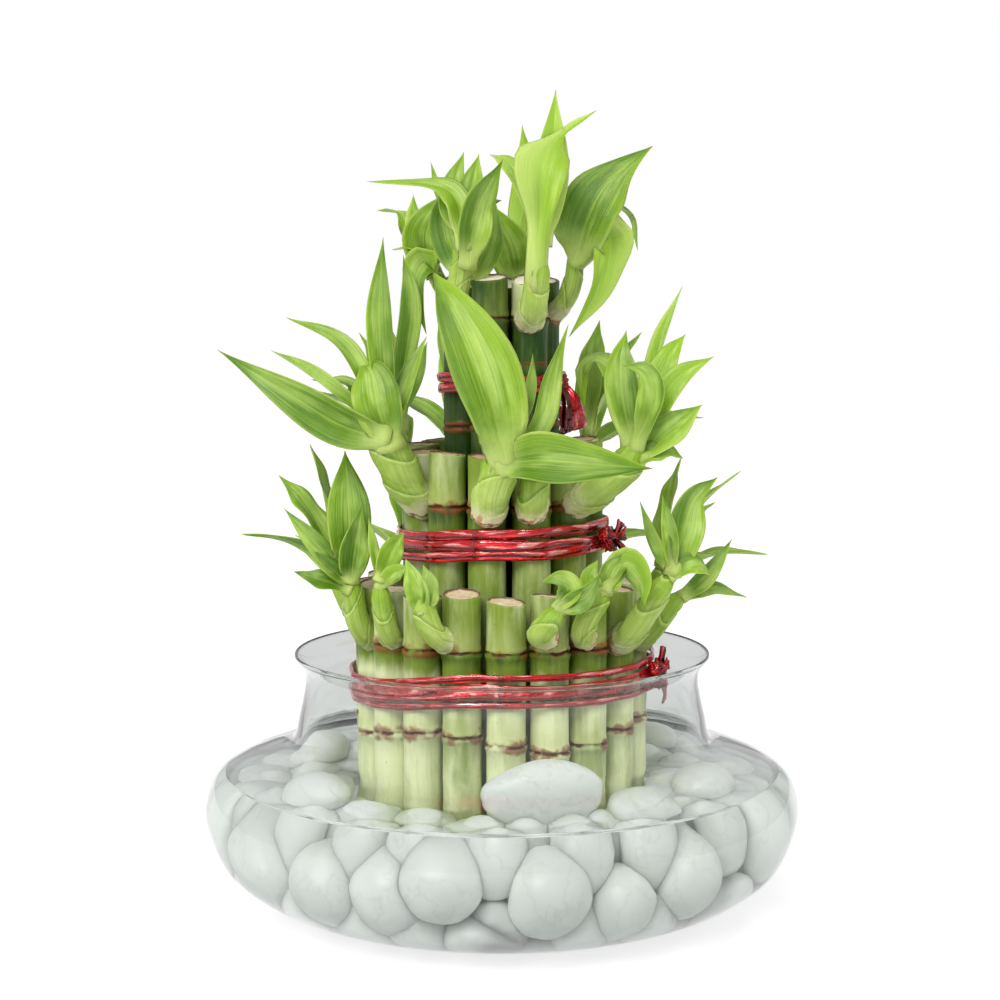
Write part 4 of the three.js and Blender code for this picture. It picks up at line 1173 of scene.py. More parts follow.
def add_stone(shape, stone, inner):
    """A stone with its lumps, held in between the canes and the glass."""
    tone = draw(stone.seed, 70)

    def placed(way):
        grain = STONE_GRAIN * wobble(way, 3.2, stone.seed)
        lump = 1 + STONE_LUMP * wobble(way, 1.1, stone.seed) + grain
        local = Vector(way[k] * stone.half[k] for k in range(3)) * lump
        place = stone.centre + stone.turn @ local
        return hold_in(place, inner), (local.z, local.x, local.y, tone)

    add_ball(shape, NEAR_FINENESS if stone.ring in NEAR_RINGS else FAR_FINENESS, placed)


def hold_in(place, inner):
    """Presses a point of a stone back behind the glass and in front of the canes."""
    height = max(place.z, BOWL_FLOOR + 0.3)
    flat = Vector((place.x, place.y, 0))
    far = radius_at(inner, height) - STONE_GAP if height < NECK_FOOT else NECK_CLEAR
    wanted = max(min(flat.length, far), BUNDLE_RADIUS - STONE_GAP)
    flat *= wanted / flat.length
    return Vector((flat.x, flat.y, height))


# Building shader nodes
class Wiring:
    """Adds and joins the nodes of one tree; an input is a plain value or another node's output."""

    def __init__(self, tree):
        self.tree = tree

    def feed(self, socket, value):
        if isinstance(value, bpy.types.NodeSocket):
            self.tree.links.new(value, socket)
        else:
            socket.default_value = value

    def put(self, kind, inputs=None, **settings):
        made = self.tree.nodes.new(kind)
        for name, value in settings.items():
            setattr(made, name, value)
        for name, value in (inputs or {}).items():
            self.feed(made.inputs[name], value)
        return made

    def value(self, name):
        return self.put("ShaderNodeAttribute", attribute_name=name).outputs["Fac"]

    def place(self):
        return self.put("ShaderNodeTexCoord").outputs["Object"]

    def math(self, operation, *terms):
        made = self.put("ShaderNodeMath", operation=operation)
        for socket, term in zip(made.inputs, terms):
            self.feed(socket, term)
        return made.outputs[0]

    def times(self, first, second):
        return self.math("MULTIPLY", first, second)

    def plus(self, first, second):
        return self.math("ADD", first, second)

    def minus(self, first, second):
        return self.math("SUBTRACT", first, second)

    def size_of(self, value):
        return self.math("ABSOLUTE", value)

    def span(self, value, low, high, start=0.0, end=1.0):
        inputs = {"Value": value, "From Min": low, "From Max": high, "To Min": start, "To Max": end}
        return self.put("ShaderNodeMapRange", inputs, interpolation_type="SMOOTHSTEP").outputs["Result"]

    def mix(self, share, first, second):
        """Blends two colours; a plain colour is its red, green and blue."""
        made = self.put("ShaderNodeMix", data_type="RGBA")
        self.feed(made.inputs[0], share)
        for socket, colour in zip(made.inputs[6:8], (first, second)):
            joined = isinstance(colour, bpy.types.NodeSocket)
            self.feed(socket, colour if joined else (*colour, 1.0))
        return made.outputs[2]

    def vector(self, x, y, z):
        return self.put("ShaderNodeCombineXYZ", {"X": x, "Y": y, "Z": z}).outputs[0]

    def stretch(self, vector, scale):
        made = self.put("ShaderNodeVectorMath", operation="MULTIPLY")
        self.feed(made.inputs[0], vector)
        self.feed(made.inputs[1], scale)
        return made.outputs[0]

    def noise(self, vector, scale, detail=3.0, roughness=0.55):
        inputs = {"Vector": vector, "Scale": scale, "Detail": detail, "Roughness": roughness}
        return self.put("ShaderNodeTexNoise", inputs).outputs["Fac"]

    def bump(self, height, strength, distance):
        inputs = {"Height": height, "Strength": strength, "Distance": distance}
        return self.put("ShaderNodeBump", inputs).outputs["Normal"]

    def group(self, tree, **inputs):
        named = {name.replace("_", " "): value for name, value in inputs.items()}
        return self.put("ShaderNodeGroup", named, node_tree=tree).outputs


def new_group(name, inputs, outputs):
    tree = bpy.data.node_groups.new(name, "ShaderNodeTree")
    for label, kind, default in inputs:
        socket = tree.interface.new_socket(name=label, in_out="INPUT", socket_type=kind)
        socket.default_value = default
    for label, kind in outputs:
        tree.interface.new_socket(name=label, in_out="OUTPUT", socket_type=kind)
    wires = Wiring(tree)
    return tree, wires, wires.put("NodeGroupInput").outputs, wires.put("NodeGroupOutput").inputs


NUMBER, PLACE = "NodeSocketFloat", "NodeSocketVector"


def shared_group(name, build):
    """The group of that name, built the first time it is asked for."""
    found = bpy.data.node_groups.get(name)
    return found or build(name)


def build_mottling(name):
    """Soft clouds of a size in millimetres, as a mask."""
    inputs = [("Place", PLACE, (0, 0, 0)), ("Size", NUMBER, 8), ("Contrast", NUMBER, 0.2)]
    tree, wires, given, out = new_group(name, inputs, [("Mask", NUMBER)])
    scale = wires.math("DIVIDE", 1 / MM, given["Size"])
    cloud = wires.noise(given["Place"], scale, 4.0, 0.6)
    low = wires.minus(0.5, given["Contrast"])
    high = wires.plus(0.5, given["Contrast"])
    wires.feed(out["Mask"], wires.span(cloud, low, high))
    return tree


def build_streaks(name):
    """Long fibres or veins, drawn out along the growth, as a mask and a fine ridge height."""
    inputs = [("Across", NUMBER, 0), ("Along", NUMBER, 0), ("Seed", NUMBER, 0), ("Fineness", NUMBER, 1)]
    tree, wires, given, out = new_group(name, inputs, [("Mask", NUMBER), ("Ridges", NUMBER)])
    broad = wires.times(given["Across"], wires.times(given["Fineness"], 0.55))
    fine = wires.times(given["Across"], wires.times(given["Fineness"], 2.6))
    slow = wires.times(given["Along"], 0.05)
    seed = wires.times(given["Seed"], 37.0)
    wide = wires.noise(wires.vector(broad, slow, seed), 1.0, 2.0)
    thin = wires.noise(wires.vector(fine, slow, seed), 1.0, 1.0)
    both = wires.plus(wires.times(wide, 0.6), wires.times(thin, 0.4))
    wires.feed(out["Mask"], wires.span(both, 0.36, 0.64))
    wires.feed(out["Ridges"], thin)
    return tree


def build_scar(name):
    """A ragged ring at a distance of 0 from where a leaf or node was, as a mask."""
    inputs = [
        ("Distance", NUMBER, 1),
        ("Width", NUMBER, 0.3),
        ("Place", PLACE, (0, 0, 0)),
        ("Raggedness", NUMBER, 0.5),
    ]
    tree, wires, given, out = new_group(name, inputs, [("Mask", NUMBER)])
    coarse = wires.minus(wires.noise(given["Place"], 420.0, 3.0, 0.7), 0.5)
    shift = wires.times(coarse, wires.times(given["Raggedness"], 2.0))
    off = wires.size_of(wires.plus(given["Distance"], shift))
    ring = wires.span(off, wires.times(given["Width"], 0.4), given["Width"], 1.0, 0.0)
    patchy = wires.span(wires.noise(given["Place"], 260.0, 2.0), 0.34, 0.56)
    wires.feed(out["Mask"], wires.times(ring, patchy))
    return tree


def mottling(wires, place, size, contrast):
    tree = shared_group("Mottling", build_mottling)
    return wires.group(tree, Place=place, Size=size, Contrast=contrast)["Mask"]


def streaks(wires, across, along, seed, fineness):
    """The mask of the fibres and the height of their ridges."""
    tree = shared_group("Growth Streaks", build_streaks)
    made = wires.group(tree, Across=across, Along=along, Seed=seed, Fineness=fineness)
    return made["Mask"], made["Ridges"]


def scar_ring(wires, distance, width, place, raggedness):
    tree = shared_group("Scar Ring", build_scar)
    return wires.group(tree, Distance=distance, Width=width, Place=place, Raggedness=raggedness)["Mask"]


def tint(red, green, blue):
    """A colour given as it looks on a screen, from 0 to 255."""
    parts = [part / 255 for part in (red, green, blue)]
    return tuple(part / 12.92 if part <= 0.04045 else ((part + 0.055) / 1.055) ** 2.4 for part in parts)


def new_finish(name):
    finish = bpy.data.materials.new(name)
    finish.use_nodes = True
    finish.node_tree.nodes.clear()
    return finish, Wiring(finish.node_tree)


def complete(wires, colour, rough, normal, others):
    """Ends a finish in its shader; the others are its inputs beside colour, roughness and normal."""
    inputs = {"Base Color": colour, "Roughness": rough, "Normal": normal, **others}
    shader = wires.put("ShaderNodeBsdfPrincipled", inputs)
    wires.put("ShaderNodeOutputMaterial", {"Surface": shader.outputs[0]})


# Finishes of the plant
def cane_green(wires, look, place, tone, clouds, fibre):
    """A cane's green, from pale to deep in soft bands, with thin pale fibres."""
    bands = wires.noise(wires.stretch(place, (1.0, 1.0, 0.1)), 300.0, 2.0)
    uneven = wires.plus(wires.times(clouds, 0.22), wires.times(bands, 0.5))
    depth = wires.plus(tone, wires.minus(uneven, 0.36))
    colour = wires.mix(wires.span(depth, 0.0, 0.5), look.skin_pale, look.skin_mid)
    colour = wires.mix(wires.span(depth, 0.5, 1.0), colour, look.skin_deep)
    pale_fibres = wires.times(wires.span(fibre, 0.5, 0.72), wires.span(tone, 0.5, 1.1, 0.25, 0.06))
    return wires.mix(pale_fibres, colour, look.skin_young)


def shade_nodes(wires, look, colour, distance, tone):
    """Darkens the skin just under a node and makes it paler just over one."""
    under = wires.times(wires.span(distance, -7.0, -0.6), wires.span(distance, -0.5, 0.1, 1.0, 0.0))
    colour = wires.mix(wires.times(under, 0.25), colour, look.skin_shade)
    over = wires.times(wires.span(distance, 0.0, 0.6), wires.span(distance, 2.0, 9.0, 1.0, 0.0))
    over = wires.times(over, wires.span(tone, 0.3, 1.0, 0.4, 0.05))
    return wires.mix(over, colour, look.skin_young)


def scar_nodes(wires, look, colour, distance, place):
    """Draws the scars of a node, a broad ragged one and a thin dark one; gives the broad one too."""
    ragged = wires.span(wires.noise(place, 110.0, 2.0), 0.4, 0.62, 0.5, 2.6)
    line = scar_ring(wires, distance, ragged, place, 1.3)
    colour = wires.mix(wires.times(line, 0.85), colour, look.scar)
    thin = scar_ring(wires, distance, 0.48, place, 0.55)
    return wires.mix(thin, colour, look.scar_dark), line


def cane_skin(look):
    finish, wires = new_finish("Cane Skin")
    place, tone, distance = wires.place(), wires.value("tone"), wires.value("along")
    fibre = wires.noise(wires.stretch(place, (1.0, 1.0, 0.07)), 1100.0, 3.0)
    clouds = mottling(wires, wires.stretch(place, (1.0, 1.0, 0.4)), 7.0, 0.2)
    colour = cane_green(wires, look, place, tone, clouds, fibre)
    colour = shade_nodes(wires, look, colour, distance, tone)
    colour, line = scar_nodes(wires, look, colour, distance, place)
    specks = wires.span(wires.noise(place, 1500.0, 2.0), 0.7, 0.76, 0.0, 0.5)
    colour = wires.mix(specks, colour, look.scar)
    normal = wires.bump(wires.plus(fibre, wires.times(line, 0.8)), 0.35, 0.00025)
    rough = wires.span(clouds, 0.0, 1.0, look.gloss, look.gloss + 0.16)
    others = {"Subsurface Weight": 0.12, "Subsurface Radius": (0.6, 0.9, 0.3), "Subsurface Scale": 0.0012}
    complete(wires, colour, rough, normal, {**others, "Specular IOR Level": 0.26})
    return finish


def cut_face(look):
    finish, wires = new_finish("Cane Cut")
    place, reach = wires.place(), wires.value("across")
    cells = wires.put("ShaderNodeTexVoronoi", {"Vector": place, "Scale": 1500.0})
    dots = wires.span(cells.outputs["Distance"], 0.1, 0.34, 1.0, 0.0)
    clouds = mottling(wires, place, 2.6, 0.16)
    dry = wires.span(wires.plus(wires.value("tone"), wires.times(clouds, 0.3)), 0.1, 1.0)
    colour = wires.mix(dry, look.cut_pale, look.cut_tan)
    colour = wires.mix(wires.times(dots, wires.span(dry, 0.0, 1.0, 0.15, 0.7)), colour, look.scar)
    ragged = wires.plus(reach, wires.times(wires.noise(place, 900.0, 3.0), 0.16))
    colour = wires.mix(wires.span(ragged, 0.86, 1.0, 0.0, 0.9), colour, look.scar_dark)
    normal = wires.bump(wires.plus(dots, clouds), 0.6, 0.0002)
    rough = wires.span(clouds, 0.0, 1.0, 0.6, 0.85)
    complete(wires, colour, rough, normal, {})
    return finish


def sheath_green(wires, look, share, tone, collar, veins):
    """Greener towards the stem's top, with a green of its own for each sheath."""
    number = wires.math("FLOOR", wires.plus(collar, wires.times(tone, 9.0)))
    own = wires.put("ShaderNodeTexWhiteNoise", {"W": number}, noise_dimensions="1D").outputs["Value"]
    green = wires.plus(wires.times(veins, 0.35), wires.span(share, 0.15, 0.9, 0.0, 0.55))
    green = wires.plus(green, wires.times(own, 0.25))
    return wires.mix(wires.span(green, 0.0, 1.1), look.sheath, look.young)


def edge_sheaths(wires, look, colour, share, collar):
    """Makes the edge of each sheath pale and paints shade in deep green at the foot of the next one; gives
    the edges too.
    """
    phase = wires.math("FRACT", collar)
    shown = wires.span(share, 0.04, 0.2)
    lip = wires.times(wires.times(wires.span(phase, 0.86, 0.97), shown), 0.75)
    colour = wires.mix(lip, colour, look.sheath)
    # painted shade: the foot of each sheath is darkened where the edge over it would shade it
    painted_foot_shade = wires.times(wires.times(wires.span(phase, 0.0, 0.16, 1.0, 0.0), shown), 0.5)
    return wires.mix(painted_foot_shade, colour, look.deep), lip


def colour_bulb(wires, look, colour, place, share, clouds):
    """The cream bulb at a stem's foot, with a torn scar round it and brown spots."""
    bulb = wires.span(wires.plus(share, wires.times(clouds, 0.14)), 0.14, 0.4, 0.9, 0.0)
    colour = wires.mix(bulb, colour, look.bulb)
    torn = wires.times(wires.minus(wires.noise(place, 420.0, 3.0), 0.5), 0.3)
    arc = wires.span(wires.size_of(wires.plus(wires.minus(share, 0.015), torn)), 0.0, 0.05, 0.95, 0.0)
    colour = wires.mix(arc, colour, look.scar)
    spots = wires.span(wires.noise(place, 240.0, 3.0), 0.56, 0.64)
    spots = wires.times(spots, wires.span(share, 0.08, 0.24, 0.8, 0.0))
    return wires.mix(spots, colour, look.blush)


def sheath(look):
    finish, wires = new_finish("Shoot Sheath")
    place, share = wires.place(), wires.value("along")
    collar, around, tone = wires.value("across"), wires.value("fibre"), wires.value("tone")
    veins, ridges = streaks(wires, around, wires.times(share, 20.0), tone, 1.0)
    clouds = mottling(wires, place, 5.0, 0.2)
    colour = sheath_green(wires, look, share, tone, collar, veins)
    colour = wires.mix(wires.times(clouds, 0.2), colour, look.deep)
    colour, lip = edge_sheaths(wires, look, colour, share, collar)
    colour = colour_bulb(wires, look, colour, place, share, clouds)
    normal = wires.bump(wires.plus(ridges, lip), 0.7, 0.0005)
    rough = wires.span(clouds, 0.0, 1.0, look.gloss + 0.04, look.gloss + 0.2)
    others = {"Subsurface Weight": 0.2, "Subsurface Radius": (0.8, 1.0, 0.4), "Subsurface Scale": 0.0015}
    complete(wires, colour, rough, normal, {**others, "Specular IOR Level": 0.4})
    return finish


def whiten_and_paint_sheen(wires, look, colour, depth, share, fibre, tone, veins):
    """Whitens the palest leaves, and paints a whitish sheen, a painted highlight, in patches of streaks over
    the others.
    """
    colour = wires.mix(wires.span(tone, -0.6, 0.0, 0.6, 0.0), colour, look.pale_and_sheen)
    patch = wires.noise(wires.vector(wires.times(fibre, 0.22), wires.times(share, 2.0), tone), 1.0, 2.0)
    sheen = wires.times(wires.span(patch, 0.48, 0.7), wires.span(veins, 0.2, 0.9, 0.4, 0.6))
    # painted highlight: the sheen is stronger where the leaf's tone is lighter, as on a side facing the
    # light
    sheen = wires.times(sheen, wires.span(depth, 0.1, 0.9, 1.2, 0.5))
    sheen = wires.times(sheen, wires.span(share, 0.75, 0.97, 1.0, 0.0))
    return wires.mix(sheen, colour, look.pale_and_sheen)


def colour_leaf_ends(wires, look, colour, share, tone, clouds):
    """The pale foot of a leaf and its brown tip."""
    neck = wires.span(wires.plus(share, wires.times(clouds, 0.08)), 0.05, 0.34, 0.85, 0.0)
    colour = wires.mix(neck, colour, look.sheath)
    tip = wires.times(wires.span(share, 0.93, 1.0), wires.span(tone, 0.3, 0.9, 0.1, 0.7))
    return wires.mix(tip, colour, look.blush)


def leaf_skin(look):
    finish, wires = new_finish("Leaf")
    place, share, across = wires.place(), wires.value("along"), wires.value("across")
    fibre, tone = wires.value("fibre"), wires.value("tone")
    run = wires.times(share, 30.0)
    veins, ridges = streaks(wires, fibre, run, tone, 1.6)
    clouds = mottling(wires, place, 14.0, 0.2)
    off = wires.size_of(across)
    broad, _ = streaks(wires, fibre, run, tone, 0.6)
    broad = wires.times(broad, wires.span(share, 0.65, 0.95, 0.25, 0.0))
    shift = wires.plus(wires.times(clouds, 0.3), broad)
    depth = wires.plus(wires.times(tone, 0.8), wires.minus(shift, 0.12))
    colour = wires.mix(wires.span(depth, 0.0, 1.0), look.young, look.deep)
    fading = wires.span(share, 0.6, 0.9, 1.0, 0.0)
    colour = wires.mix(wires.times(wires.times(veins, 0.17), fading), colour, look.pale)
    colour = whiten_and_paint_sheen(wires, look, colour, depth, share, fibre, tone, veins)
    rib = wires.span(off, 0.02, 0.1, 0.3, 0.0)
    colour = wires.mix(rib, colour, look.pale)
    colour = wires.mix(wires.span(off, 0.88, 1.0, 0.0, 0.6), colour, look.pale)
    colour = colour_leaf_ends(wires, look, colour, share, tone, clouds)
    height = wires.minus(wires.times(ridges, fading), wires.times(rib, 1.2))
    normal = wires.bump(height, 0.45, 0.0005)
    rough = wires.span(clouds, 0.0, 1.0, look.gloss, look.gloss + 0.12)
    rough = wires.plus(rough, wires.times(veins, 0.08))
    others = {"Subsurface Weight": 0.25, "Subsurface Radius": (0.7, 1.0, 0.3), "Subsurface Scale": 0.002}
    complete(wires, colour, rough, normal, {**others, "Specular IOR Level": 0.42})
    return finish


# Finishes of the rest
def mark_strand(wires, look, colour, run, tone):
    """Paints shade on the inner side of a strand, where the turns meet, and painted glints along its upper
    side.
    """
    round_strand = wires.value("across")
    # painted shade: the inner side of each strand is darkened nearly to black, as the gaps between the turns
    # would be in shade
    inner = wires.span(wires.size_of(wires.minus(round_strand, 0.5)), 0.2, 0.3, 0.85, 0.0)
    colour = wires.mix(inner, colour, look.foil_gap_shade)
    # painted highlight: pale streaks along the upper side of each strand stand for glints of light
    upper = wires.span(wires.size_of(wires.minus(round_strand, 0.1)), 0.02, 0.12, 1.0, 0.0)
    streaky = wires.noise(wires.vector(run, wires.times(wires.value("fibre"), 0.3), tone), 2.4, 1.0)
    glint = wires.times(upper, wires.span(streaky, 0.5, 0.62, 0.0, 0.9))
    return wires.mix(glint, colour, look.foil_glint)


def foil(look):
    finish, wires = new_finish("Red Foil")
    place, tone = wires.place(), wires.value("tone")
    run = wires.times(wires.value("along"), 0.07)
    drawn_out = wires.vector(run, wires.times(wires.value("fibre"), 0.5), tone)
    cells = wires.put("ShaderNodeTexVoronoi", {"Vector": drawn_out, "Scale": 1.5}, feature="F1")
    creases = wires.plus(cells.outputs["Distance"], wires.noise(drawn_out, 1.3, 2.0))
    clouds = mottling(wires, place, 3.0, 0.2)
    depth = wires.plus(wires.times(clouds, 0.6), wires.times(tone, 0.4))
    colour = wires.mix(depth, look.foil, look.foil_deep)
    colour = mark_strand(wires, look, colour, run, tone)
    rough = wires.span(clouds, 0.0, 1.0, look.gloss, look.gloss + 0.16)
    normal = wires.bump(creases, 0.75, 0.0012)
    metal = wires.span(clouds, 0.0, 1.0, 0.8, 0.6)
    coat = {"Specular Tint": (1.0, 0.3, 0.3, 1.0), "Coat Weight": 1.0, "Coat Roughness": 0.09}
    complete(wires, colour, rough, normal, {"Metallic": metal, **coat})
    return finish


def pebble_skin(look):
    finish, wires = new_finish("White Pebble")
    place, tone = wires.place(), wires.value("tone")
    broad = mottling(wires, place, 12.0, 0.25)
    grain = mottling(wires, place, 2.0, 0.3)
    shade = wires.plus(wires.times(broad, 0.45), wires.times(tone, 0.4))
    shade = wires.plus(shade, wires.times(grain, 0.12))
    colour = wires.mix(shade, look.white, look.grey)
    veins = wires.size_of(wires.minus(wires.noise(place, 90.0, 4.0), 0.5))
    colour = wires.mix(wires.span(veins, 0.0, 0.02, 0.22, 0.0), colour, look.vein)
    normal = wires.bump(wires.noise(place, 1400.0, 3.0), 0.12, 0.0003)
    rough = wires.span(grain, 0.0, 1.0, look.gloss, look.gloss + 0.14)
    others = {"Subsurface Weight": 0.8, "Subsurface Radius": (1.0, 1.0, 1.0), "Subsurface Scale": 0.006}
    complete(wires, colour, rough, normal, others)
    return finish


def clear_glass(look):
    finish, wires = new_finish("Clear Glass")
    place = wires.place()
    haze = mottling(wires, place, 26.0, 0.3)
    waves = wires.noise(wires.stretch(place, (1.0, 1.0, 0.35)), 40.0, 2.0)
    normal = wires.bump(waves, 0.06, 0.002)
    colour = wires.mix(wires.times(haze, 0.5), look.glass, look.glass_edge)
    rough = wires.span(haze, 0.4, 1.0, 0.0, 0.015)
    complete(wires, colour, rough, normal, {"IOR": 1.5, "Transmission Weight": 1.0})
    return finish


def clear_water(look):
    finish, wires = new_finish("Clear Water")
    ripples = wires.noise(wires.place(), 55.0, 2.0)
    normal = wires.bump(ripples, 0.05, 0.002)
    depth = mottling(wires, wires.place(), 40.0, 0.3)
    colour = wires.mix(depth, look.water, look.glass)
    complete(wires, colour, 0.0, normal, {"IOR": 1.333, "Transmission Weight": 1.0})
    return finish


def through_glass(wires, ray):
    """1 for what the camera sees through glass or water, and 0 for the light that reaches what they hold."""
    straight = wires.math("LESS_THAN", ray["Diffuse Depth"], 0.5)
    return wires.times(ray["Is Transmission Ray"], straight)


def floor_finish(look):
    finish, wires = new_finish("Studio Floor")
    viewed = through_glass(wires, wires.put("ShaderNodeLightPath").outputs)
    glow = wires.minus(FLOOR_GLOW, wires.times(viewed, FLOOR_GLOW - GLASS_GLOW))
    clouds = mottling(wires, wires.place(), 160.0, 0.3)
    colour = wires.mix(wires.times(clouds, 0.5), look.floor, look.floor_shade)
    normal = wires.bump(wires.noise(wires.place(), 900.0, 2.0), 0.05, 0.0003)
    glowing = {"Emission Color": (1, 1, 1, 1), "Emission Strength": glow}
    complete(wires, colour, 0.8, normal, {"Specular IOR Level": 0.15, **glowing})
    return finish


# What a user may change
def colour_setting(name, description, colour):
    return FloatVectorProperty(
        name=name, description=description, subtype="COLOR", size=3, min=0, max=1, default=tint(*colour)
    )


def strength_setting(name, description, most, default, unit="NONE"):
    return FloatProperty(name=name, description=description, unit=unit, min=0, max=most, default=default)


def gloss_setting(default):
    return strength_setting("Roughness", "Roughness where the surface is smoothest", 1, default)


class LuckyBambooBowlSettings(bpy.types.PropertyGroup):
    wall: FloatProperty(
        name="Wall",
        description="Thickness of the glass",
        unit="LENGTH",
        min=0.001,
        max=0.003,
        default=0.0014,
    )
    level: FloatProperty(
        name="Water Level",
        description="Height of the water above the bowl's underside",
        unit="LENGTH",
        min=0.02,
        max=0.036,
        default=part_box("water")[1].z - WATER_DIP * MM,
    )
    sides: IntProperty(name="Sides", description="Sides of the turned glass", min=32, max=256, default=160)
    glass: colour_setting("Glass", "Colour of the glass", (252, 254, 253))
    glass_edge: colour_setting("Glass Haze", "Colour of the glass where it is hazy", (244, 249, 247))
    water: colour_setting("Water", "Colour of the water", (250, 253, 252))


class LuckyBambooPebbleSettings(bpy.types.PropertyGroup):
    white: colour_setting("White", "Palest colour of the pebbles", (225, 228, 224))
    grey: colour_setting("Grey", "Greyest colour of the pebbles", (211, 214, 209))
    vein: colour_setting("Veins", "Colour of the thin veins", (176, 177, 168))
    gloss: gloss_setting(0.3)


class LuckyBambooPlantSettings(bpy.types.PropertyGroup):
    skin_pale: colour_setting("Pale Cane", "Skin of the palest canes", (226, 231, 184))
    skin_mid: colour_setting("Green Cane", "Skin of the canes between", (118, 140, 46))
    skin_deep: colour_setting("Deep Cane", "Skin of the greenest canes", (30, 62, 14))
    skin_shade: colour_setting("Under Nodes", "Skin just under a node", (58, 84, 30))
    skin_young: colour_setting("Over Nodes", "Skin just over a node and in thin fibres", (180, 186, 116))
    scar: colour_setting("Scars", "Rings left by old leaves", (128, 70, 34))
    scar_dark: colour_setting("Dark Scars", "Darkest line of a scar", (70, 36, 20))
    cut_pale: colour_setting("Cut", "Palest colour of a cut face", (242, 232, 206))
    cut_tan: colour_setting("Tan Cut", "Darkest colour of a cut face", (206, 176, 132))
    young: colour_setting("Young Leaf", "Lightest green of the leaves", (136, 172, 36))
    # The deep leaf green also paints the shade at the foot of each sheath on the stems
    deep: colour_setting("Deep Leaf", "Deepest green of the leaves", (68, 108, 8))
    pale: colour_setting("Leaf Streaks", "Veins, rib and margins", (172, 204, 76))
    # This whitish colour whitens the palest leaves and also paints a highlight sheen in streaks on the
    # others
    pale_and_sheen: colour_setting("Wax", "Whitish sheen in streaks on the leaves", (200, 224, 126))
    sheath: colour_setting("Sheath", "Pale foot of leaves and stems", (188, 208, 112))
    bulb: colour_setting("Bulb", "Cream foot of a stem", (234, 228, 188))
    blush: colour_setting("Blush", "Brown at tips and on the stems' feet", (184, 128, 66))
    gloss: gloss_setting(0.34)


class LuckyBambooRibbonSettings(bpy.types.PropertyGroup):
    foil: colour_setting("Foil", "Brightest colour of the foil", (242, 20, 32))
    foil_deep: colour_setting("Deep Foil", "Deepest colour of the foil", (150, 6, 14))
    # The gap colour is painted shade between the turns of the foil
    foil_gap_shade: colour_setting("Foil Gaps", "Colour of the foil between its turns", (52, 2, 6))
    # The glint colour is a painted highlight along the foil
    foil_glint: colour_setting("Foil Glints", "Pale streaks along the foil's upper sides", (255, 170, 166))
    gloss: gloss_setting(0.2)


class LuckyBambooStageSettings(bpy.types.PropertyGroup):
    floor: colour_setting("Floor", "Colour of the floor", (158, 158, 158))
    floor_shade: colour_setting("Floor Shade", "Colour of the floor's faint clouds", (150, 150, 150))
    key: strength_setting("Daylight", "Strength of the soft light from above left", 10, 2.0)
    pebble_key: strength_setting("Pebble Light", "Strength of the same light on the pebbles", 10, 1.45)
    foil_strip: strength_setting(
        "Foil Strip", "Power of the strip that glints in the foil", 100, 3.0, "POWER"
    )
    fill: strength_setting("Soft Boxes", "Power of each soft box", 100, 1.6, "POWER")
    sky: strength_setting("Surroundings", "Strength of the light all round", 3, 0.52)


# Making the pieces
class LUCKYBAMBOO_OT_add_bowl(bpy.types.Operator):
    """Add the glass bowl, turned from its profile"""

    bl_idname = "luckybamboo.add_bowl"
    bl_label = "Add Bowl"

    def execute(self, context):
        look = context.scene.luckybamboo_bowl
        shape = bowl_shape(look.wall / MM, look.sides)
        piece = add_piece("glass_bowl", shape, [clear_glass(look)], ["bowl"])
        piece.visible_shadow = False
        return {"FINISHED"}


class LUCKYBAMBOO_OT_add_water(bpy.types.Operator):
    """Add the water up to its level, with its edge drawn up the glass"""

    bl_idname = "luckybamboo.add_water"
    bl_label = "Add Water"

    def execute(self, context):
        look = context.scene.luckybamboo_bowl
        shape = water_shape(look.wall / MM, look.level / MM, look.sides)
        piece = add_piece("clear_water", shape, [clear_water(look)], ["water"])
        piece.visible_shadow = False
        return {"FINISHED"}


class LUCKYBAMBOO_OT_add_pebbles(bpy.types.Operator):
    """Add the pebbles, settled against each other between the canes and the glass"""

    bl_idname = "luckybamboo.add_pebbles"
    bl_label = "Add Pebbles"

    def execute(self, context):
        scene = context.scene
        finish = pebble_skin(scene.luckybamboo_pebbles)
        inner = inside_profile(scene.luckybamboo_bowl.wall / MM)
        stones = all_stones()
        settle(stones, inner)
        for ring in sorted({stone.ring for stone in stones}):
            shape = Shape()
            for stone in stones:
                if stone.ring == ring:
                    add_stone(shape, stone, inner)
            add_piece(f"white_{ring}", shape, [finish], [ring])
        return {"FINISHED"}


class LUCKYBAMBOO_OT_add_canes(bpy.types.Operator):
    """Add the three tiers of canes, each with its shoot and leaves"""

    bl_idname = "luckybamboo.add_canes"
    bl_label = "Add Canes"

    def execute(self, context):
        look = context.scene.luckybamboo_plant
        finishes = [cane_skin(look), cut_face(look), sheath(look), leaf_skin(look)]
        middle = Shape()
        sizes = {**CENTRE_CANE, "nodes": [CENTRE_CANE["node"]]}
        add_rod(middle, Vector((0, 0, 0)), sizes, CENTRE_CANE["seed"], TIER_TONES["top"])
        add_piece("green_cane_centre", middle, finishes, ["cane_centre"])
        for tier_name, tier in TIERS.items():
            for index in range(tier["count"]):
                node = f"cane_{tier_name}_{index}"
                add_piece(f"green_{node}", cane_shape(tier_name, index), finishes, [node])
        return {"FINISHED"}


class LUCKYBAMBOO_OT_add_ribbons(bpy.types.Operator):
    """Add the crumpled foil ribbons with their knots and loose ends"""

    bl_idname = "luckybamboo.add_ribbons"
    bl_label = "Add Ribbons"

    def execute(self, context):
        finish = foil(context.scene.luckybamboo_ribbons)
        for band in BANDS:
            add_piece(f"foil_{band['name']}", ribbon_shape(band), [finish], [band["name"]])
        return {"FINISHED"}


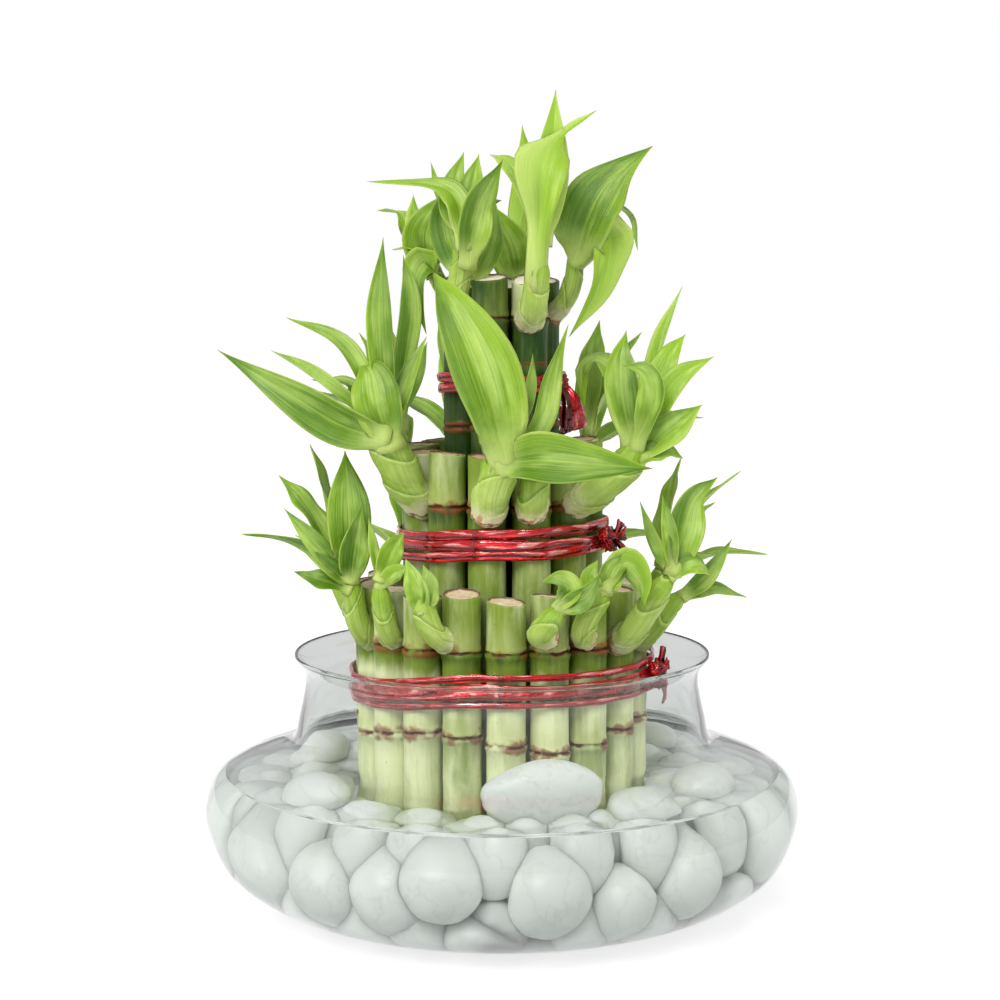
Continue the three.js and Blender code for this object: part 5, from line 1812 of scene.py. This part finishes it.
# Stage
def add_daylight(name, strength, pieces):
    """Soft sunlight that falls on these pieces alone, so that each group gets its own strength."""
    lamp = bpy.data.lights.new(name, "SUN")
    lamp.angle = math.radians(DAYLIGHT_SPREAD)
    lamp.energy = strength
    keep_light_on(place_lamp(lamp, DAYLIGHT_PLACE), pieces)


def add_soft_box(name, place, size, power, reflected=False):
    lamp = bpy.data.lights.new(name, "AREA")
    lamp.shape = "RECTANGLE"
    lamp.size, lamp.size_y = size
    lamp.energy = power
    holder = place_lamp(lamp, place)
    holder.visible_glossy = reflected
    holder.visible_transmission = False
    return holder


def keep_light_on(holder, pieces):
    lit = bpy.data.collections.new(f"Lit by {holder.name}")
    for piece in pieces:
        lit.objects.link(piece)
    holder.light_linking.receiver_collection = lit


def place_lamp(lamp, place):
    holder = new_object(lamp.name, lamp)
    holder.location = place
    holder.rotation_euler = (Vector(LAMP_AIM) - Vector(place)).to_track_quat("-Z", "Y").to_euler()
    return holder


def add_camera(scene):
    camera = bpy.data.cameras.new("Camera")
    camera.lens = CAMERA_LENS
    camera.clip_start = 0.01
    holder = new_object("Camera", camera)
    holder.location = CAMERA_PLACE
    holder.rotation_euler = (math.radians(90 - CAMERA_PITCH), 0, 0)
    scene.camera = holder


def add_floor(look):
    half = FLOOR_HALF
    mesh = bpy.data.meshes.new("floor")
    corners = [(-half, -half, 0), (half, -half, 0), (half, half, 0), (-half, half, 0)]
    mesh.from_pydata(corners, [], [(0, 1, 2, 3)])
    mesh.materials.append(floor_finish(look))
    floor = new_object("floor", mesh)


def add_surroundings(scene, strength):
    """White to the camera, a little less so through glass; as light, brighter above than at the sides."""
    world = bpy.data.worlds.new("Studio")
    world.use_nodes = True
    world.node_tree.nodes.clear()
    wires = Wiring(world.node_tree)
    way = wires.put("ShaderNodeTexCoord").outputs["Generated"]
    height = wires.put("ShaderNodeSeparateXYZ", {"Vector": way}).outputs["Z"]
    shade = wires.mix(wires.span(height, -0.1, 0.6), (0.86, 0.87, 0.88), (1, 1, 1))
    soft = wires.put("ShaderNodeBackground", {"Color": shade, "Strength": strength}).outputs[0]
    plain = wires.put("ShaderNodeBackground", {"Color": (1, 1, 1, 1), "Strength": 1.0}).outputs[0]
    ray = wires.put("ShaderNodeLightPath").outputs
    viewed = through_glass(wires, ray)
    inside = wires.times(wires.minus(ray["Is Transmission Ray"], viewed), INSIDE_VIEW)
    through = wires.plus(wires.times(viewed, GLASS_VIEW), inside)
    off_gloss = wires.times(ray["Is Glossy Ray"], GLOSS_VIEW)
    share = wires.math("MAXIMUM", ray["Is Camera Ray"], wires.math("MAXIMUM", through, off_gloss))
    both = wires.put("ShaderNodeMixShader", {"Fac": share})
    wires.feed(both.inputs[1], soft)
    wires.feed(both.inputs[2], plain)
    wires.put("ShaderNodeOutputWorld", {"Surface": both.outputs[0]})
    scene.world = world


class LUCKYBAMBOO_OT_add_stage(bpy.types.Operator):
    """Add the pale floor, the soft lights and the camera"""

    bl_idname = "luckybamboo.add_stage"
    bl_label = "Add Stage"

    def execute(self, context):
        scene = context.scene
        look = scene.luckybamboo_stage
        add_camera(scene)
        add_floor(look)
        add_surroundings(scene, look.sky)
        solid = [piece for piece in scene.objects if piece.type == "MESH" and piece.visible_shadow]
        pebbles = [piece for piece in solid if piece.name.startswith("white_pebble")]
        add_daylight("Daylight", look.key, [piece for piece in solid if piece not in pebbles])
        add_daylight("Pebble Light", look.pebble_key, pebbles)
        strip = add_soft_box("Foil Strip", *FOIL_STRIP, look.foil_strip, reflected=True)
        keep_light_on(strip, [piece for piece in solid if piece.name.startswith("foil")])
        for name, (place, size) in SOFT_BOXES.items():
            add_soft_box(name, place, size, look.fill)
        scene.view_settings.view_transform = "Standard"
        scene.cycles.max_bounces = 14
        scene.cycles.diffuse_bounces = 8
        scene.cycles.glossy_bounces = 10
        scene.cycles.transmission_bounces = 14
        scene.cycles.transparent_max_bounces = 12
        scene.cycles.caustics_reflective = False
        scene.cycles.caustics_refractive = True
        scene.cycles.use_denoising = True
        return {"FINISHED"}


class LUCKYBAMBOO_PT_panel(bpy.types.Panel):
    bl_label = "Lucky Bamboo"
    bl_idname = "LUCKYBAMBOO_PT_panel"
    bl_space_type = "VIEW_3D"
    bl_region_type = "UI"
    bl_category = "Lucky Bamboo"

    def draw(self, context):
        for name, operators in PANEL_ROWS:
            box = self.layout.box()
            settings = getattr(context.scene, name)
            for label in settings.__annotations__:
                box.prop(settings, label)
            for operator in operators:
                box.operator(operator.bl_idname)


PANEL_ROWS = (
    ("luckybamboo_bowl", (LUCKYBAMBOO_OT_add_bowl, LUCKYBAMBOO_OT_add_water)),
    ("luckybamboo_pebbles", (LUCKYBAMBOO_OT_add_pebbles,)),
    ("luckybamboo_plant", (LUCKYBAMBOO_OT_add_canes,)),
    ("luckybamboo_ribbons", (LUCKYBAMBOO_OT_add_ribbons,)),
    ("luckybamboo_stage", (LUCKYBAMBOO_OT_add_stage,)),
)
SETTINGS = {
    "luckybamboo_bowl": LuckyBambooBowlSettings,
    "luckybamboo_pebbles": LuckyBambooPebbleSettings,
    "luckybamboo_plant": LuckyBambooPlantSettings,
    "luckybamboo_ribbons": LuckyBambooRibbonSettings,
    "luckybamboo_stage": LuckyBambooStageSettings,
}
OPERATORS = [operator for _, operators in PANEL_ROWS for operator in operators]
CLASSES = (*SETTINGS.values(), *OPERATORS, LUCKYBAMBOO_PT_panel)


def register():
    for item in CLASSES:
        bpy.utils.register_class(item)
    for name, settings in SETTINGS.items():
        setattr(bpy.types.Scene, name, PointerProperty(type=settings))


def unregister():
    for name in SETTINGS:
        delattr(bpy.types.Scene, name)
    for item in reversed(CLASSES):
        bpy.utils.unregister_class(item)


def main():
    register()
    bpy.ops.luckybamboo.add_bowl()
    bpy.ops.luckybamboo.add_water()
    bpy.ops.luckybamboo.add_pebbles()
    bpy.ops.luckybamboo.add_canes()
    bpy.ops.luckybamboo.add_ribbons()
    bpy.ops.luckybamboo.add_stage()


if __name__ == "__main__":
    main()
